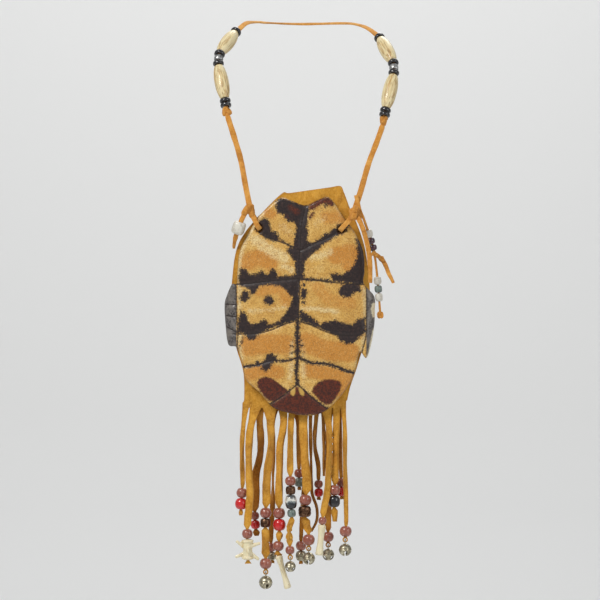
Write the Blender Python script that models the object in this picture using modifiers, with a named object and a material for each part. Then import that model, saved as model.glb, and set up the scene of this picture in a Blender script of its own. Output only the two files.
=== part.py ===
# Beaded medicine bag: a suede neck pouch with a turtle plastron lashed to its face, a long cut
# fringe carrying beads, bones and bells, and a thong neck strap strung with bone hairpipes.
# Metres, +Z up, front towards -Y. The origin is where the strap lies on the nape of the neck.

import math

import bmesh
import bpy
from mathutils import Matrix, Vector
from mathutils.geometry import delaunay_2d_cdt

# Clearances
TOUCH = 0.0003            # between faces that rest on each other
STRUNG = 0.0006           # between neighbours strung on a bending thong

# Where the bag hangs below the nape, and how far in front of it
BAG_CENTRE_Z = -0.2051
BAG_SEAM_Y = -0.124

# Suede pouch
POUCH_WIDTH = 0.098
POUCH_HEIGHT = 0.161
POUCH_SWELL = 0.0064      # how far each panel bows out from the seam plane
MOUTH_SLACK = 0.5         # share of the swell that stays at the mouth
SUEDE = 0.0016

# Turtle plastron
PLATE_WIDTH = 0.091
PLATE_HEIGHT = 0.152
PLATE_DROP = 0.0038       # centre of the plate below the centre of the pouch
PLATE_THICK = 0.0028
PLATE_CURL = 0.0060       # how far the bridges turn back beyond the plate's edge
SEAM_GROOVE_WIDTH = 0.0011
SEAM_GROOVE_DEPTH = 0.0005
LASH_HOLE = 0.0042
LASH_HOLE_X = 0.0285
LASH_HOLE_DROP = 0.0215   # below the plate's upper edge
LASH_HOLE_SKEW = 0.001    # the right hole was drilled this much lower

# Thongs
NECK_THONG = 0.0026
LASH_THONG = 0.0021
SIDE_THONG = 0.0018
KNOT_WIDTH = 0.0078
KNOT_HEIGHT = 0.0052
KNOT_DEPTH = 0.0056

# Things strung on the neck thong
HAIRPIPE_LENGTH = 0.0254
HAIRPIPE_MAX = 0.0102
HAIRPIPE_END = 0.0058
HAIRPIPE_BORE = 0.0038
DISC_DIAMETER = 0.0078
DISC_THICK = 0.0028
DISC_BORE = 0.0034
SILVER_DIAMETER = 0.0066
SILVER_LENGTH = 0.0046
STOP_KNOT_DIAMETER = 0.0066
STOP_KNOT_LENGTH = 0.0052

# Fringe and what it carries
FRINGE_RISE = 0.0056      # the cuts between the strips end this far above the pouch's lowest edge
STRIP_EASE = 0.045        # the drop within which a strip has come forward to where it hangs
STRIP_STAND_OFF = 0.0012
STRIP_LEAD = 0.0006       # how far a strip stays pinched beyond a stack
NECK_WIDTH = 0.0018       # a strip pulled through a bead
BEAD_BORE = 0.0031
BONE_BORE = 0.0028        # the marrow hole of a small limb bone
BELL_WALL = 0.0006
BELL_SLOT = 0.0011
BELL_RING_RADIUS = 0.0016
BELL_RING_WIRE = 0.0008
BELL_RING_SUNK = 0.0004   # how far the ring's foot is let into the ball
TAB_WIDTH = 0.0038        # the punched tab that a bell's ring goes through
TAB_HOLE = 0.0020
TAB_MARGIN = 0.0009
SHOULDER = 0.0022         # how far from a stack a strip is wide again

BONE_WAIST = 0.0039       # shaft of a small limb bone
BONE_KNOB = 0.0057
WING_LENGTH = 0.0058      # side wings of the vertebra
WING_ROOT = 0.0038
WING_TIP = 0.0018
VERTEBRA_WIDTH = 0.0092

# How finely the forms are faceted
SIDES_AROUND = 9          # facets round a bead
SMALL_SIDES = 8           # round a small bead
FUSED_SIDES = 6           # round a bead that is one solid with its strip
SMALL_BEAD = 0.0075
PIPE_SIDES = 12           # facets round a hairpipe
SHEET_STEP = 0.014        # between points inside a suede panel
PLATE_STEP = 0.0105       # between points inside the plate
SEAM_STEP = 0.0085        # along a scute seam
EDGE_STEP = 0.0045        # along a cut outline
STRIP_STEP = 0.015        # down a strip

COLOURS = {
    "suede": ((0.69, 0.37, 0.05), 0.95, 0.0),
    "thong_suede": ((0.68, 0.27, 0.045), 0.92, 0.0),
    "shell": ((0.66, 0.42, 0.11), 0.35, 0.0),
    "bone": ((0.79, 0.66, 0.36), 0.5, 0.0),
    "black_glass": ((0.012, 0.012, 0.014), 0.15, 0.0),
    "silver": ((0.42, 0.42, 0.42), 0.3, 1.0),
    "rose_wood": ((0.38, 0.11, 0.06), 0.4, 0.0),
    "red_glass": ((0.62, 0.01, 0.01), 0.2, 0.0),
    "bronze": ((0.12, 0.06, 0.035), 0.35, 1.0),
    "striped_glass": ((0.5, 0.52, 0.5), 0.25, 0.0),
    "grey_glass": ((0.2, 0.25, 0.22), 0.3, 0.0),
    "white_glass": ((0.7, 0.66, 0.56), 0.45, 0.0),
    "plum_glass": ((0.05, 0.015, 0.03), 0.25, 0.0),
    "bell_metal": ((0.48, 0.44, 0.3), 0.3, 1.0),
}

FRINGE_TOP_Z = BAG_CENTRE_Z - POUCH_HEIGHT / 2 + FRINGE_RISE

# Outline shapes, as shares of a half width and a half height, clockwise from the top left
PLATE_OUTLINE = [
    (-0.331, 0.991), (-0.138, 0.972), (0.077, 0.931), (0.277, 0.977), (0.462, 1.0),
    (0.677, 0.825), (0.846, 0.691), (0.985, 0.516), (1.011, 0.332), (1.0, 0.212),
    (1.165, 0.092), (1.175, -0.045), (1.165, -0.184), (1.108, -0.369), (1.038, -0.475),
    (0.934, -0.424), (0.846, -0.627), (0.692, -0.783), (0.446, -0.94), (0.215, -1.0),
    (-0.077, -0.991), (-0.415, -0.931), (-0.631, -0.793), (-0.846, -0.673),
    (-0.908, -0.516), (-0.992, -0.378), (-1.123, -0.35), (-1.169, -0.175),
    (-1.185, 0.009), (-1.154, 0.092), (-1.069, 0.203), (-0.992, 0.212),
    (-0.978, 0.332), (-0.938, 0.516), (-0.762, 0.719), (-0.631, 0.839),
]
POUCH_OUTLINE = [
    (-0.261, 0.932), (-0.13, 0.939), (0.394, 0.985), (0.571, 1.0), (0.624, 0.948),
    (0.711, 0.806), (0.8, 0.687), (0.914, 0.487), (0.971, 0.27), (1.0, 0.009),
    (0.975, -0.252), (0.87, -0.46), (0.8, -0.6), (0.72, -0.74), (0.675, -0.861), (0.665, -0.93),
    (0.0, -1.0), (-0.82, -0.93), (-0.8, -0.861), (-0.8, -0.678), (-0.83, -0.56), (-0.9, -0.426),
    (-1.0, -0.165), (-0.986, 0.009), (-0.971, 0.157), (-0.929, 0.383),
    (-0.857, 0.522), (-0.714, 0.652), (-0.586, 0.739),
]

# Seams between the scutes, as shares of the plate's half sizes
SCUTE_SEAMS = [
    [(0.077, 0.88), (0.009, 0.765), (-0.015, 0.507), (-0.026, 0.138), (-0.046, -0.138),
     (-0.055, -0.332), (-0.071, -0.719)],
    [(-0.69, 0.69), (-0.35, 0.61), (-0.06, 0.52)],
    [(0.03, 0.52), (0.35, 0.63), (0.70, 0.72)],
    [(-0.93, 0.206), (-0.538, 0.225), (-0.07, 0.25)],
    [(0.02, 0.25), (0.4, 0.228), (0.794, 0.206), (0.93, 0.205)],
    [(-0.92, -0.255), (-0.62, -0.246), (-0.35, -0.19), (-0.09, -0.135)],
    [(0.0, -0.145), (0.3, -0.21), (0.554, -0.265), (0.92, -0.25)],
    [(-0.84, -0.558), (-0.651, -0.539), (-0.462, -0.501), (-0.231, -0.507), (-0.1, -0.48)],
    [(-0.01, -0.485), (0.165, -0.525), (0.4, -0.53), (0.635, -0.577), (0.8, -0.61)],
    [(-0.11, -0.745), (-0.28, -0.82), (-0.39, -0.868)],
    [(-0.03, -0.745), (0.17, -0.84), (0.35, -0.9)],
]

# The neck strap's route from the nape down each side: x, y, z
STRAP_LEFT = [
    (0.0, 0.0, 0.0), (-0.0120, -0.0045, -0.0001), (-0.0235, -0.0170, -0.0006),
    (-0.0335, -0.0390, -0.0020), (-0.0395, -0.0590, -0.0050), (-0.0446, -0.0719, -0.0107),
    (-0.0462, -0.0745, -0.0124), (-0.0514, -0.0840, -0.0202), (-0.0564, -0.0930, -0.0277),
    (-0.0573, -0.0953, -0.0302), (-0.0579, -0.0983, -0.0345), (-0.0578, -0.0999, -0.0377),
    (-0.0554, -0.1045, -0.0500), (-0.0531, -0.1088, -0.0618), (-0.0526, -0.1100, -0.0650),
    (-0.0512, -0.1130, -0.0738), (-0.0475, -0.1168, -0.0860), (-0.0416, -0.1228, -0.1060),
    (-0.0380, -0.1285, -0.1250), (-0.0352, -0.1330, -0.1388),
]
STRAP_RIGHT = [
    (0.0145, -0.0045, -0.0002), (0.0285, -0.0175, -0.0010), (0.0405, -0.0380, -0.0035),
    (0.0490, -0.0555, -0.0080), (0.0558, -0.0696, -0.0147), (0.0572, -0.0723, -0.0165),
    (0.0616, -0.0814, -0.0253), (0.0658, -0.0900, -0.0337), (0.0665, -0.0921, -0.0364),
    (0.0668, -0.0949, -0.0408), (0.0665, -0.0964, -0.0440), (0.0636, -0.1006, -0.0564),
    (0.0609, -0.1046, -0.0681), (0.0602, -0.1057, -0.0714), (0.0585, -0.1085, -0.0802),
    (0.0545, -0.1128, -0.0920), (0.0484, -0.1190, -0.1080), (0.0424, -0.1265, -0.1285),
    (0.0382, -0.1330, -0.1412),
]
# Where on those routes the stop knots sit, as the point below each
STOP_LEFT = (-0.0512, -0.1130, -0.0738)
STOP_RIGHT = (0.0585, -0.1085, -0.0802)

# Each strip of the fringe: the layer it is cut from, where it leaves the pouch as a share of the
# half width, how wide and how far forward it hangs, its way down as (sideways, drop) from there,
# and the stacks it carries as (drop of the stack's top, kinds from the top down)
STRIPS = {
    "a": ("front", -0.79, 0.0030, 0.0020,
          [(0, 0), (-0.0019, 0.0259), (-0.0016, 0.0553), (-0.0026, 0.0679), (-0.0027, 0.0750)],
          [(0.0560, [("wood", 0.0077), ("red", 0.0086)])]),
    "b": ("front", -0.66, 0.0044, 0.0062,
          [(0, 0), (-0.0030, 0.0200), (-0.0034, 0.0437), (-0.0026, 0.0612), (-0.0045, 0.0833),
           (-0.0040, 0.1030)],
          [(0.0845, [("wood", 0.0074), ("vertebra", 0.0150)])]),
    "d": ("front", -0.430, 0.0044, 0.0032,
          [(0, 0), (0.0006, 0.0263), (-0.0018, 0.0450), (-0.0024, 0.0612), (-0.0031, 0.0770),
           (-0.0030, 0.0950), (-0.0029, 0.1146)],
          [(0.0698, [("wood", 0.0080), ("bronze", 0.0074)]), (0.1050, [("wood", 0.0084)])]),
    "e": ("front", -0.219, 0.0042, 0.0040,
          [(0, 0), (-0.0010, 0.0136), (-0.0032, 0.0260), (-0.0036, 0.0406), (-0.0040, 0.0609),
           (-0.0038, 0.0740), (-0.0037, 0.0868), (-0.0044, 0.0980), (-0.0050, 0.1005),
           (-0.0043, 0.1030), (-0.0030, 0.1075)],
          [(0.0697, [("wood", 0.0084), ("red", 0.0090)]), (0.0930, [("wood", 0.0077)]),
           (0.1030, [("long_bone", 0.0240)])]),
    "f": ("front", -0.126, 0.0038, 0.0086,
          [(0, 0), (-0.0006, 0.0300), (-0.0006, 0.0466), (-0.0004, 0.0581), (-0.0001, 0.0672),
           (0.0004, 0.0770), (-0.0014, 0.0850), (-0.0011, 0.0920), (-0.0006, 0.1039)],
          [(0.0474, [("wood", 0.0074), ("bronze", 0.0070), ("striped", 0.0081), ("grey", 0.0060)]),
           (0.0961, [("wood", 0.0064)])]),
    "h": ("front", 0.034, 0.0052, 0.0050,
          [(0, 0), (0.0010, 0.0234), (0.0018, 0.0378), (0.0031, 0.0560), (0.0020, 0.0645),
           (0.0013, 0.0730), (0.0026, 0.0800), (0.0042, 0.0870), (0.0044, 0.0980)],
          [(0.0604, [("wood", 0.0086), ("bronze", 0.0092)]), (0.0882, [("wood", 0.0086)])]),
    "j": ("front", 0.392, 0.0038, 0.0078,
          [(0, 0), (0.0014, 0.0224), (0.0009, 0.0406), (-0.0006, 0.0609), (-0.0028, 0.0717),
           (-0.0036, 0.0790), (-0.0044, 0.0870)],
          [(0.0760, [("wood", 0.0056), ("short_bone", 0.0214)])]),
    "l": ("front", 0.529, 0.0044, 0.0036,
          [(0, 0), (-0.0007, 0.0175), (-0.0012, 0.0350), (-0.0015, 0.0525), (-0.0021, 0.0620),
           (-0.0016, 0.0793)],
          [(0.0539, [("wood", 0.0080), ("black", 0.0084)])]),
    "n": ("front", 0.629, 0.0026, 0.0020,
          [(0, 0), (0.0006, 0.0175), (0.0007, 0.0406), (0.0012, 0.0581), (0.0014, 0.0816),
           (0.0008, 0.0922)],
          [(0.0826, [("wood", 0.0084)])]),
    "c": ("back", -0.592, 0.0036, 0.0015,
          [(0, 0), (0.0009, 0.0339), (-0.0020, 0.0466), (-0.0021, 0.0612), (-0.0028, 0.0766),
           (-0.0014, 0.0900)],
          [(0.0732, [("wood", 0.0063), ("red", 0.0067)])]),
    "r": ("back", -0.400, 0.0028, 0.0022,
          [(0, 0), (0.0006, 0.0400), (0.0004, 0.0672), (-0.0007, 0.0980), (0.0000, 0.1060)],
          [(0.0950, [("wood", 0.0070), ("bell_bead", 0.0060)])]),
    "g": ("back", -0.03, 0.0024, -0.0020,
          [(0, 0), (0.0007, 0.0420), (0.0010, 0.0560)],
          [(0.0430, [("wood", 0.0068), ("grey", 0.0068)])]),
    "s": ("back", 0.082, 0.0024, 0.0040,
          [(0, 0), (-0.0010, 0.0500), (-0.0032, 0.0900), (-0.0034, 0.1100)],
          [(0.0940, [("wood", 0.0074), ("bell_bead", 0.0074)])]),
    "t": ("back", 0.145, 0.0022, -0.0030,
          [(0, 0), (0.0010, 0.0500), (0.0014, 0.0600), (0.0048, 0.0710), (0.0046, 0.0790),
           (0.0008, 0.0868)], []),
    "i": ("back", 0.245, 0.0024, 0.0012,
          [(0, 0), (-0.0013, 0.0293), (0.0008, 0.0400), (0.0010, 0.0520), (0.0012, 0.0640)],
          [(0.0510, [("wood", 0.0062), ("red", 0.0064)])]),
    "u": ("back", 0.332, 0.0022, 0.0000, [(0, 0), (0.0004, 0.0250), (0.0005, 0.0480)], []),
    "k": ("back", 0.412, 0.0036, 0.0010,
          [(0, 0), (-0.0002, 0.0450), (-0.0005, 0.0780), (-0.0004, 0.0964)],
          [(0.0872, [("wood", 0.0080)])]),
    "m": ("back", 0.574, 0.0022, 0.0010,
          [(0, 0), (0.0002, 0.0300), (0.0006, 0.0460), (0.0012, 0.0620)],
          [(0.0494, [("wood", 0.0070), ("red", 0.0068)])]),
}
# Strips that end in a punched tab with a bell, and each bell's diameter
BELLS = {"d": 0.0094, "f": 0.0076, "h": 0.0088, "k": 0.0084, "n": 0.0088}
BEAD_MATERIALS = {
    "wood": "rose_wood", "red": "red_glass", "bronze": "bronze", "striped": "striped_glass",
    "grey": "grey_glass", "black": "black_glass", "vertebra": "bone", "long_bone": "bone",
    "short_bone": "bone", "bell_bead": "bell_metal",
}
# Small beads of the front fringe that are one solid with their strip, as the back fringe's are
FUSED_IN_FRONT = {("j", "wood"), ("f", "grey")}
# Height of a bead as a share of its diameter
BEAD_SHAPES = {"wood": 0.88, "red": 0.92, "bronze": 0.84, "striped": 1.2, "grey": 0.9, "black": 0.96,
               "bell_bead": 0.95}


def start():
    """Clears the scene and makes the two collections."""
    for old in list(bpy.data.objects):
        bpy.data.objects.remove(old)
    made = []
    for name in ("beaded_medicine_bag", "cutters"):
        collection = bpy.data.collections.new(name)
        bpy.context.scene.collection.children.link(collection)
        made.append(collection)
    return made


def make_material(name):
    colour, roughness, metallic = COLOURS[name]
    material = bpy.data.materials.new(name)
    material.use_nodes = True
    shader = material.node_tree.nodes["Principled BSDF"]
    shader.inputs["Base Color"].default_value = (*colour, 1.0)
    shader.inputs["Roughness"].default_value = roughness
    shader.inputs["Metallic"].default_value = metallic
    return material


bag, cutters = start()
materials = {name: make_material(name) for name in COLOURS}


def add(name, data, material, collection=None):
    """Links a new object, with its material, and shades it smooth over soft edges."""
    part = bpy.data.objects.new(name, data)
    (collection or bag).objects.link(part)
    if material and not data.materials:
        data.materials.append(materials[material])
    if isinstance(data, bpy.types.Mesh):
        data.shade_smooth()
        data.set_sharp_from_angle(angle=math.radians(40))
    return part


def mesh_from(bm, name, recalculate=True):
    if recalculate:
        bmesh.ops.recalc_face_normals(bm, faces=bm.faces)
    data = bpy.data.meshes.new(name)
    bm.to_mesh(data)
    bm.free()
    return data


def smooth_route(points, steps=8):
    """A smooth curve through the points, whose slopes allow for their uneven spacing."""
    knots = [Vector(p) for p in points]
    gaps = [(b - a).length for a, b in zip(knots, knots[1:])]
    steep = [(b - a) / d for a, b, d in zip(knots, knots[1:], gaps)]
    slopes = [steep[0]]
    for i in range(1, len(knots) - 1):
        slopes.append((steep[i - 1] * gaps[i] + steep[i] * gaps[i - 1]) / (gaps[i - 1] + gaps[i]))
    slopes.append(steep[-1])
    route = []
    for i, gap in enumerate(gaps):
        for j in range(steps):
            t = j / steps
            route.append(knots[i] * (2 * t ** 3 - 3 * t ** 2 + 1) + slopes[i] * gap * (t ** 3 - 2 * t ** 2 + t)
                         + knots[i + 1] * (3 * t ** 2 - 2 * t ** 3) + slopes[i + 1] * gap * (t ** 3 - t ** 2))
    return route + [knots[-1]]


def lengths(route):
    total = [0.0]
    for a, b in zip(route, route[1:]):
        total.append(total[-1] + (b - a).length)
    return total


def point_at(route, along):
    """The point that lies this far along the route."""
    gone = 0.0
    for a, b in zip(route, route[1:]):
        step = (b - a).length
        if gone + step >= along:
            return a.lerp(b, (along - gone) / step)
        gone += step
    return route[-1]


def evenly(route, spacing):
    total = lengths(route)[-1]
    count = max(2, round(total / spacing))
    return [point_at(route, total * i / count) for i in range(count + 1)]


def tube_curve(name, route, diameter, material, closed=False, sides=2):
    """A round thong as a bevelled POLY curve."""
    data = bpy.data.curves.new(name, "CURVE")
    data.dimensions = "3D"
    data.bevel_depth = diameter / 2
    data.bevel_resolution = sides
    data.use_fill_caps = True
    spline = data.splines.new("POLY")
    spline.points.add(len(route) - 1)
    for knot, place in zip(spline.points, route):
        knot.co = (*place, 1.0)
    spline.use_cyclic_u = closed
    return add(name, data, material)


def tube_mesh(name, route, diameter, closed=False, sides=1):
    """The same thong as a closed mesh, so that it can be joined."""
    curve = tube_curve(name + "_curve", route, diameter, None, closed, sides)
    graph = bpy.context.evaluated_depsgraph_get()
    data = bpy.data.meshes.new_from_object(curve.evaluated_get(graph))
    bpy.data.objects.remove(curve)
    bm = bmesh.new()
    bm.from_mesh(data)
    bmesh.ops.remove_doubles(bm, verts=bm.verts, dist=0.00002)
    return mesh_from(bm, name)


def join(part, others, operation="UNION"):
    """One exact Boolean for each helper, which stays in the cutters' collection."""
    for other in others:
        other.hide_render = True
        other.display_type = "WIRE"
        modifier = part.modifiers.new(other.name, "BOOLEAN")
        modifier.operation = operation
        modifier.solver = "EXACT"
        modifier.object = other


def turned(name, profile, material, steps=SIDES_AROUND, collection=None):
    """A turned piece with a bore: the profile is a ring of (radius, height), outside first."""
    bm = bmesh.new()
    ring = [bm.verts.new((r, 0.0, z)) for r, z in profile]
    for a, b in zip(ring, ring[1:] + ring[:1]):
        bm.edges.new((a, b))
    part = add(name, mesh_from(bm, name, recalculate=False), material, collection)
    screw = part.modifiers.new("turn", "SCREW")
    screw.steps = screw.render_steps = steps
    screw.use_merge_vertices = True
    screw.merge_threshold = 0.00001
    screw.use_smooth_shade = True
    return part


def stand_on(part, place, direction):
    """Puts a turned piece's middle at a place, with its axis along a direction."""
    part.matrix_world = Matrix.Translation(place) @ direction.to_track_quat("Z", "Y").to_matrix().to_4x4()
    return part


def bead_profile(diameter, length, bore, shape="round"):
    """Half section of a bead, down the outer side and back up the bore."""
    r, h, b = diameter / 2, length / 2, bore / 2
    if shape == "disc":
        lip = r - 0.25 * length
        return [(lip, h), (r, 0.35 * h), (r, -0.35 * h), (lip, -h), (b, -h), (b, h)]
    face = b + 0.22 * (r - b)
    return [(face, h), (0.86 * r, 0.64 * h), (r, 0.0), (0.86 * r, -0.64 * h), (face, -h), (b, -h), (b, h)]


def hairpipe_profile():
    """A bone pipe: fullest in the middle, drawn in to a small flat face at both ends."""
    half, bore = HAIRPIPE_LENGTH / 2, HAIRPIPE_BORE / 2
    outer = []
    rings = 6
    for i in range(rings + 1):
        t = 1 - 2 * i / rings
        swell = (1 - abs(t) ** 2.3) ** 0.9
        outer.append((HAIRPIPE_END / 2 + (HAIRPIPE_MAX - HAIRPIPE_END) / 2 * swell, half * t))
    return outer + [(bore, -half), (bore, half)]


def bone_profile(length, waist, knob, bore):
    """A small limb bone: a slim shaft between two knobs, hollow at the marrow."""
    h, w, k, b = length / 2, waist / 2, knob / 2, bore / 2
    return [(0.72 * k, h), (k, 0.86 * h), (0.92 * k, 0.72 * h), (w * 1.1, 0.45 * h), (w, 0.0),
            (w * 1.1, -0.5 * h), (0.9 * k, -0.76 * h), (k, -0.9 * h), (0.7 * k, -h), (b, -h), (b, h)]


# How far the pouch bows out at a place across it and up it, from 0 at the seam to 1
def half_width_at(rise):
    """The pouch's half width at a share of its half height."""
    right = [p for p in POUCH_OUTLINE if p[0] > 0.5]
    right = [(0.624, 1.1)] + sorted(right, key=lambda p: -p[1]) + [(0.5, -1.1)]
    for (x0, y0), (x1, y1) in zip(right, right[1:]):
        if y0 >= rise > y1:
            return (x0 + (x1 - x0) * (y0 - rise) / (y0 - y1)) * POUCH_WIDTH / 2
    return 0.5 * POUCH_WIDTH / 2


def swell(x, z):
    rise = (z - BAG_CENTRE_Z) / (POUCH_HEIGHT / 2)
    across = min(1.0, abs(x) / half_width_at(max(-1.0, min(1.0, rise))))
    up = 1 - (1 - MOUTH_SLACK) * rise ** 2 if rise > 0 else 1 - rise ** 2
    return max(0.0, (1 - across ** 2) * up)


def panel_y(x, z, layer):
    """Middle of a panel's wall."""
    side = -1 if layer == "front" else 1
    return BAG_SEAM_Y + side * (SUEDE / 2 + TOUCH / 2 + POUCH_SWELL * swell(x, z))


def strip_points(strip):
    """(x, z) of a strip's middle line, finely."""
    root = strip[1] * POUCH_WIDTH / 2
    line = [(root + dx, 0.0, FRINGE_TOP_Z - drop) for dx, drop in strip[4]]
    return smooth_route(line, 6)


def strip_x(line, z):
    for a, b in zip(line, line[1:]):
        if a.z >= z >= b.z:
            return a.x + (b.x - a.x) * (a.z - z) / max(a.z - b.z, 1e-9)
    return line[0].x if z > line[0].z else line[-1].x


def strip_y(strip, x, z):
    """A strip leaves its panel's wall and eases forward, or back, as it hangs."""
    layer, forward = strip[0], strip[3]
    side = -1 if layer == "front" else 1
    t = max(0.0, min(1.0, (FRINGE_TOP_Z - z) / STRIP_EASE))
    ease = t * t * (3 - 2 * t)
    start = panel_y(x, FRINGE_TOP_Z, layer)
    return start + side * (STRIP_STAND_OFF + forward) * ease


def item_length(kind, size):
    if kind in ("long_bone", "short_bone", "vertebra"):
        return size
    return size * BEAD_SHAPES[kind]


def stack_span(stack):
    """Top and bottom drop of a stack, with the gaps between its pieces."""
    top, items = stack
    return top, top + sum(item_length(k, s) for k, s in items) + TOUCH * (len(items) - 1)


def strip_widths(key):
    """(drop, width) down a strip: narrow where it runs through a stack, wide between."""
    layer, root, wide, forward, way, stacks = STRIPS[key]
    end = way[-1][1]
    marks = [(0.0, wide)]
    last = 0.0
    for stack in stacks:
        top, bottom = stack_span(stack)
        room = top - SHOULDER - last
        if room > SHOULDER:
            count = max(1, round(room / STRIP_STEP))
            marks += [(last, wide)] if last else []
            marks += [(last + room * i / count, wide) for i in range(1, count + 1)]
        marks.append((top - STRIP_LEAD, NECK_WIDTH))
        if "bone" in stack[1][-1][0]:
            return marks + [(end, NECK_WIDTH)]
        marks += [((top + bottom) / 2, NECK_WIDTH), (bottom + STRIP_LEAD, NECK_WIDTH)]
        last = bottom + SHOULDER
    if stacks and last < end - 0.001:
        marks.append((last, wide * 0.9))
    if key in BELLS:
        return marks[:-1] if marks[-1][0] > end - TAB_WIDTH / 4 else marks
    if not stacks:
        marks += [(end * i / 6, wide) for i in range(1, 7)]
    elif last < end - 0.002:
        marks += [(end, wide * 0.7)]
    return marks


def tab_of(key):
    """Middle of the bell's hole in a strip's punched tab: x and z."""
    strip = STRIPS[key]
    line = strip_points(strip)
    z = FRINGE_TOP_Z - strip[4][-1][1]
    return strip_x(line, z), z


def bell_pivot(key):
    """Middle of a bell's ring, which turns round the tab's lower edge: x, z and y."""
    x, z = tab_of(key)
    return x, z - TAB_HOLE / 2 - TAB_MARGIN / 2, strip_y(STRIPS[key], x, z)


def strip_outline(key):
    """The cut edge of a strip in the plane of the sheet, down its left side and up its right."""
    strip = STRIPS[key]
    line = strip_points(strip)
    left, right = [], []
    for drop, width in strip_widths(key):
        z = FRINGE_TOP_Z - drop
        x = strip_x(line, z)
        left.append((x - width / 2, z))
        right.append((x + width / 2, z))
    if key in BELLS:
        x, z = tab_of(key)
        half = TAB_WIDTH / 2
        arc = [math.radians(a) for a in (150, 180, 215, 250, 290, 325, 0, 30)]
        radius_down = TAB_HOLE / 2 + TAB_MARGIN
        tab = [(x + half * math.cos(a), z + (radius_down if math.sin(a) < 0 else half) * math.sin(a))
               for a in arc]
        return left + tab + right[::-1]
    return left + right[::-1]


def hole_ring(x, z, diameter, count=8):
    return [(x + diameter / 2 * math.cos(2 * math.pi * i / count),
             z + diameter / 2 * math.sin(2 * math.pi * i / count)) for i in range(count)]


def inside(point, ring):
    """Whether a point of the plane lies inside a ring of points."""
    x, z = point
    found = False
    for (x0, z0), (x1, z1) in zip(ring, ring[1:] + ring[:1]):
        if (z0 > z) != (z1 > z) and x < (x1 - x0) * (z - z0) / (z1 - z0) + x0:
            found = not found
    return found


def near(point, others, distance):
    return any(math.hypot(point[0] - o[0], point[1] - o[1]) < distance for o in others)


def sheet_mesh(name, rings, holes, lines, spacing, place, thickness):
    """A flat cut sheet, meshed finely enough to bend, put in place and given its thickness.

    rings are its outlines, holes its punched holes and lines the creases that it follows;
    place turns a point (x, z) of the sheet and its ring's number into the wall's middle."""
    points, edges, owner = [], [], []

    def take(chain, closed, who):
        first = len(points)
        points.extend(Vector(p) for p in chain)
        owner.extend([who] * len(chain))
        edges.extend((first + i, first + i + 1) for i in range(len(chain) - 1))
        if closed:
            edges.append((first + len(chain) - 1, first))

    for number, ring in enumerate(rings):
        take(ring, True, number)
    for hole in holes:
        take(hole, True, 0)
    for line in lines:
        take(line, False, 0)
    taken = [tuple(p) for p in points]
    main = rings[0]
    low = [min(p[i] for p in main) for i in (0, 1)]
    high = [max(p[i] for p in main) for i in (0, 1)]
    row = 0
    z = low[1] + spacing / 2
    while z < high[1]:
        x = low[0] + spacing * (0.5 if row % 2 else 1.0)
        while x < high[0]:
            if inside((x, z), main) and not near((x, z), taken, spacing * 0.62):
                points.append(Vector((x, z)))
                owner.append(0)
            x += spacing
        z += spacing * 0.87
        row += 1
    verts, _, faces, origin, _, _ = delaunay_2d_cdt(points, edges, [], 0, 1e-7)
    bm = bmesh.new()
    made = []
    for vert, sources in zip(verts, origin):
        who = max((owner[s] for s in sources), default=0)
        made.append(bm.verts.new(place(vert.x, vert.y, who)))
    for face in faces:
        middle = sum((verts[i] for i in face), Vector((0, 0))) / len(face)
        kept = any(inside(middle, ring) for ring in rings)
        if kept and not any(inside(middle, hole) for hole in holes):
            bm.faces.new([made[i] for i in face])
    bmesh.ops.delete(bm, geom=[v for v in bm.verts if not v.link_faces], context="VERTS")
    for vert in bm.verts:
        vert.co.y -= thickness / 2
    bmesh.ops.recalc_face_normals(bm, faces=bm.faces)
    if sum(face.normal.y for face in bm.faces) > 0:
        bmesh.ops.reverse_faces(bm, faces=bm.faces)
    rim = [e for e in bm.edges if e.is_boundary]
    front = list(bm.faces)
    copy = bmesh.ops.duplicate(bm, geom=front)
    back = [g for g in copy["geom"] if isinstance(g, bmesh.types.BMFace)]
    for vert in {v for f in back for v in f.verts}:
        vert.co.y += thickness
    bmesh.ops.reverse_faces(bm, faces=back)
    twin = copy["vert_map"]
    for edge in rim:
        loop = edge.link_loops[0]
        a, b = loop.vert, loop.link_loop_next.vert
        bm.faces.new((b, a, twin[a], twin[b]))
    return bm


def scaled(outline, width, height, centre_z, steps=4):
    """An outline's shares turned into metres, as one smooth closed curve."""
    knots = [Vector((u * width / 2, 0.0, centre_z + v * height / 2)) for u, v in outline]
    ring = []
    count = len(knots)
    for i in range(count):
        a, b, c, d = (knots[(i + k) % count] for k in (-1, 0, 1, 2))
        many = max(1, min(steps, round((c - b).length / EDGE_STEP)))
        for j in range(many):
            t = j / many
            p = 0.5 * (2 * b + (c - a) * t + (2 * a - 5 * b + 4 * c - d) * t ** 2
                       + (3 * b - a - 3 * c + d) * t ** 3)
            ring.append((p.x, p.z))
    return ring


PLATE_CENTRE_Z = BAG_CENTRE_Z - PLATE_DROP
LASH_HOLE_Z = PLATE_CENTRE_Z + PLATE_HEIGHT / 2 - LASH_HOLE_DROP
LASH_HOLES = {"left": (-LASH_HOLE_X, LASH_HOLE_Z), "right": (LASH_HOLE_X, LASH_HOLE_Z - LASH_HOLE_SKEW)}


def plate_y(x, z):
    """Middle of the plate's wall: bowed a little forward, its bridges turned back."""
    across = x / (PLATE_WIDTH / 2)
    up = (z - PLATE_CENTRE_Z) / (PLATE_HEIGHT / 2)
    bow = (1 - 0.5 * min(1.0, across ** 2)) * (1 - 0.32 * min(1.0, up ** 2))
    bridge = max(0.0, abs(across) - 0.94)
    back = PLATE_CURL * min(1.0, bridge / 0.24) ** 1.8
    stand_off = SUEDE + TOUCH * 1.5 + TOUCH + PLATE_THICK / 2
    return BAG_SEAM_Y - stand_off - POUCH_SWELL * bow + back


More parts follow.
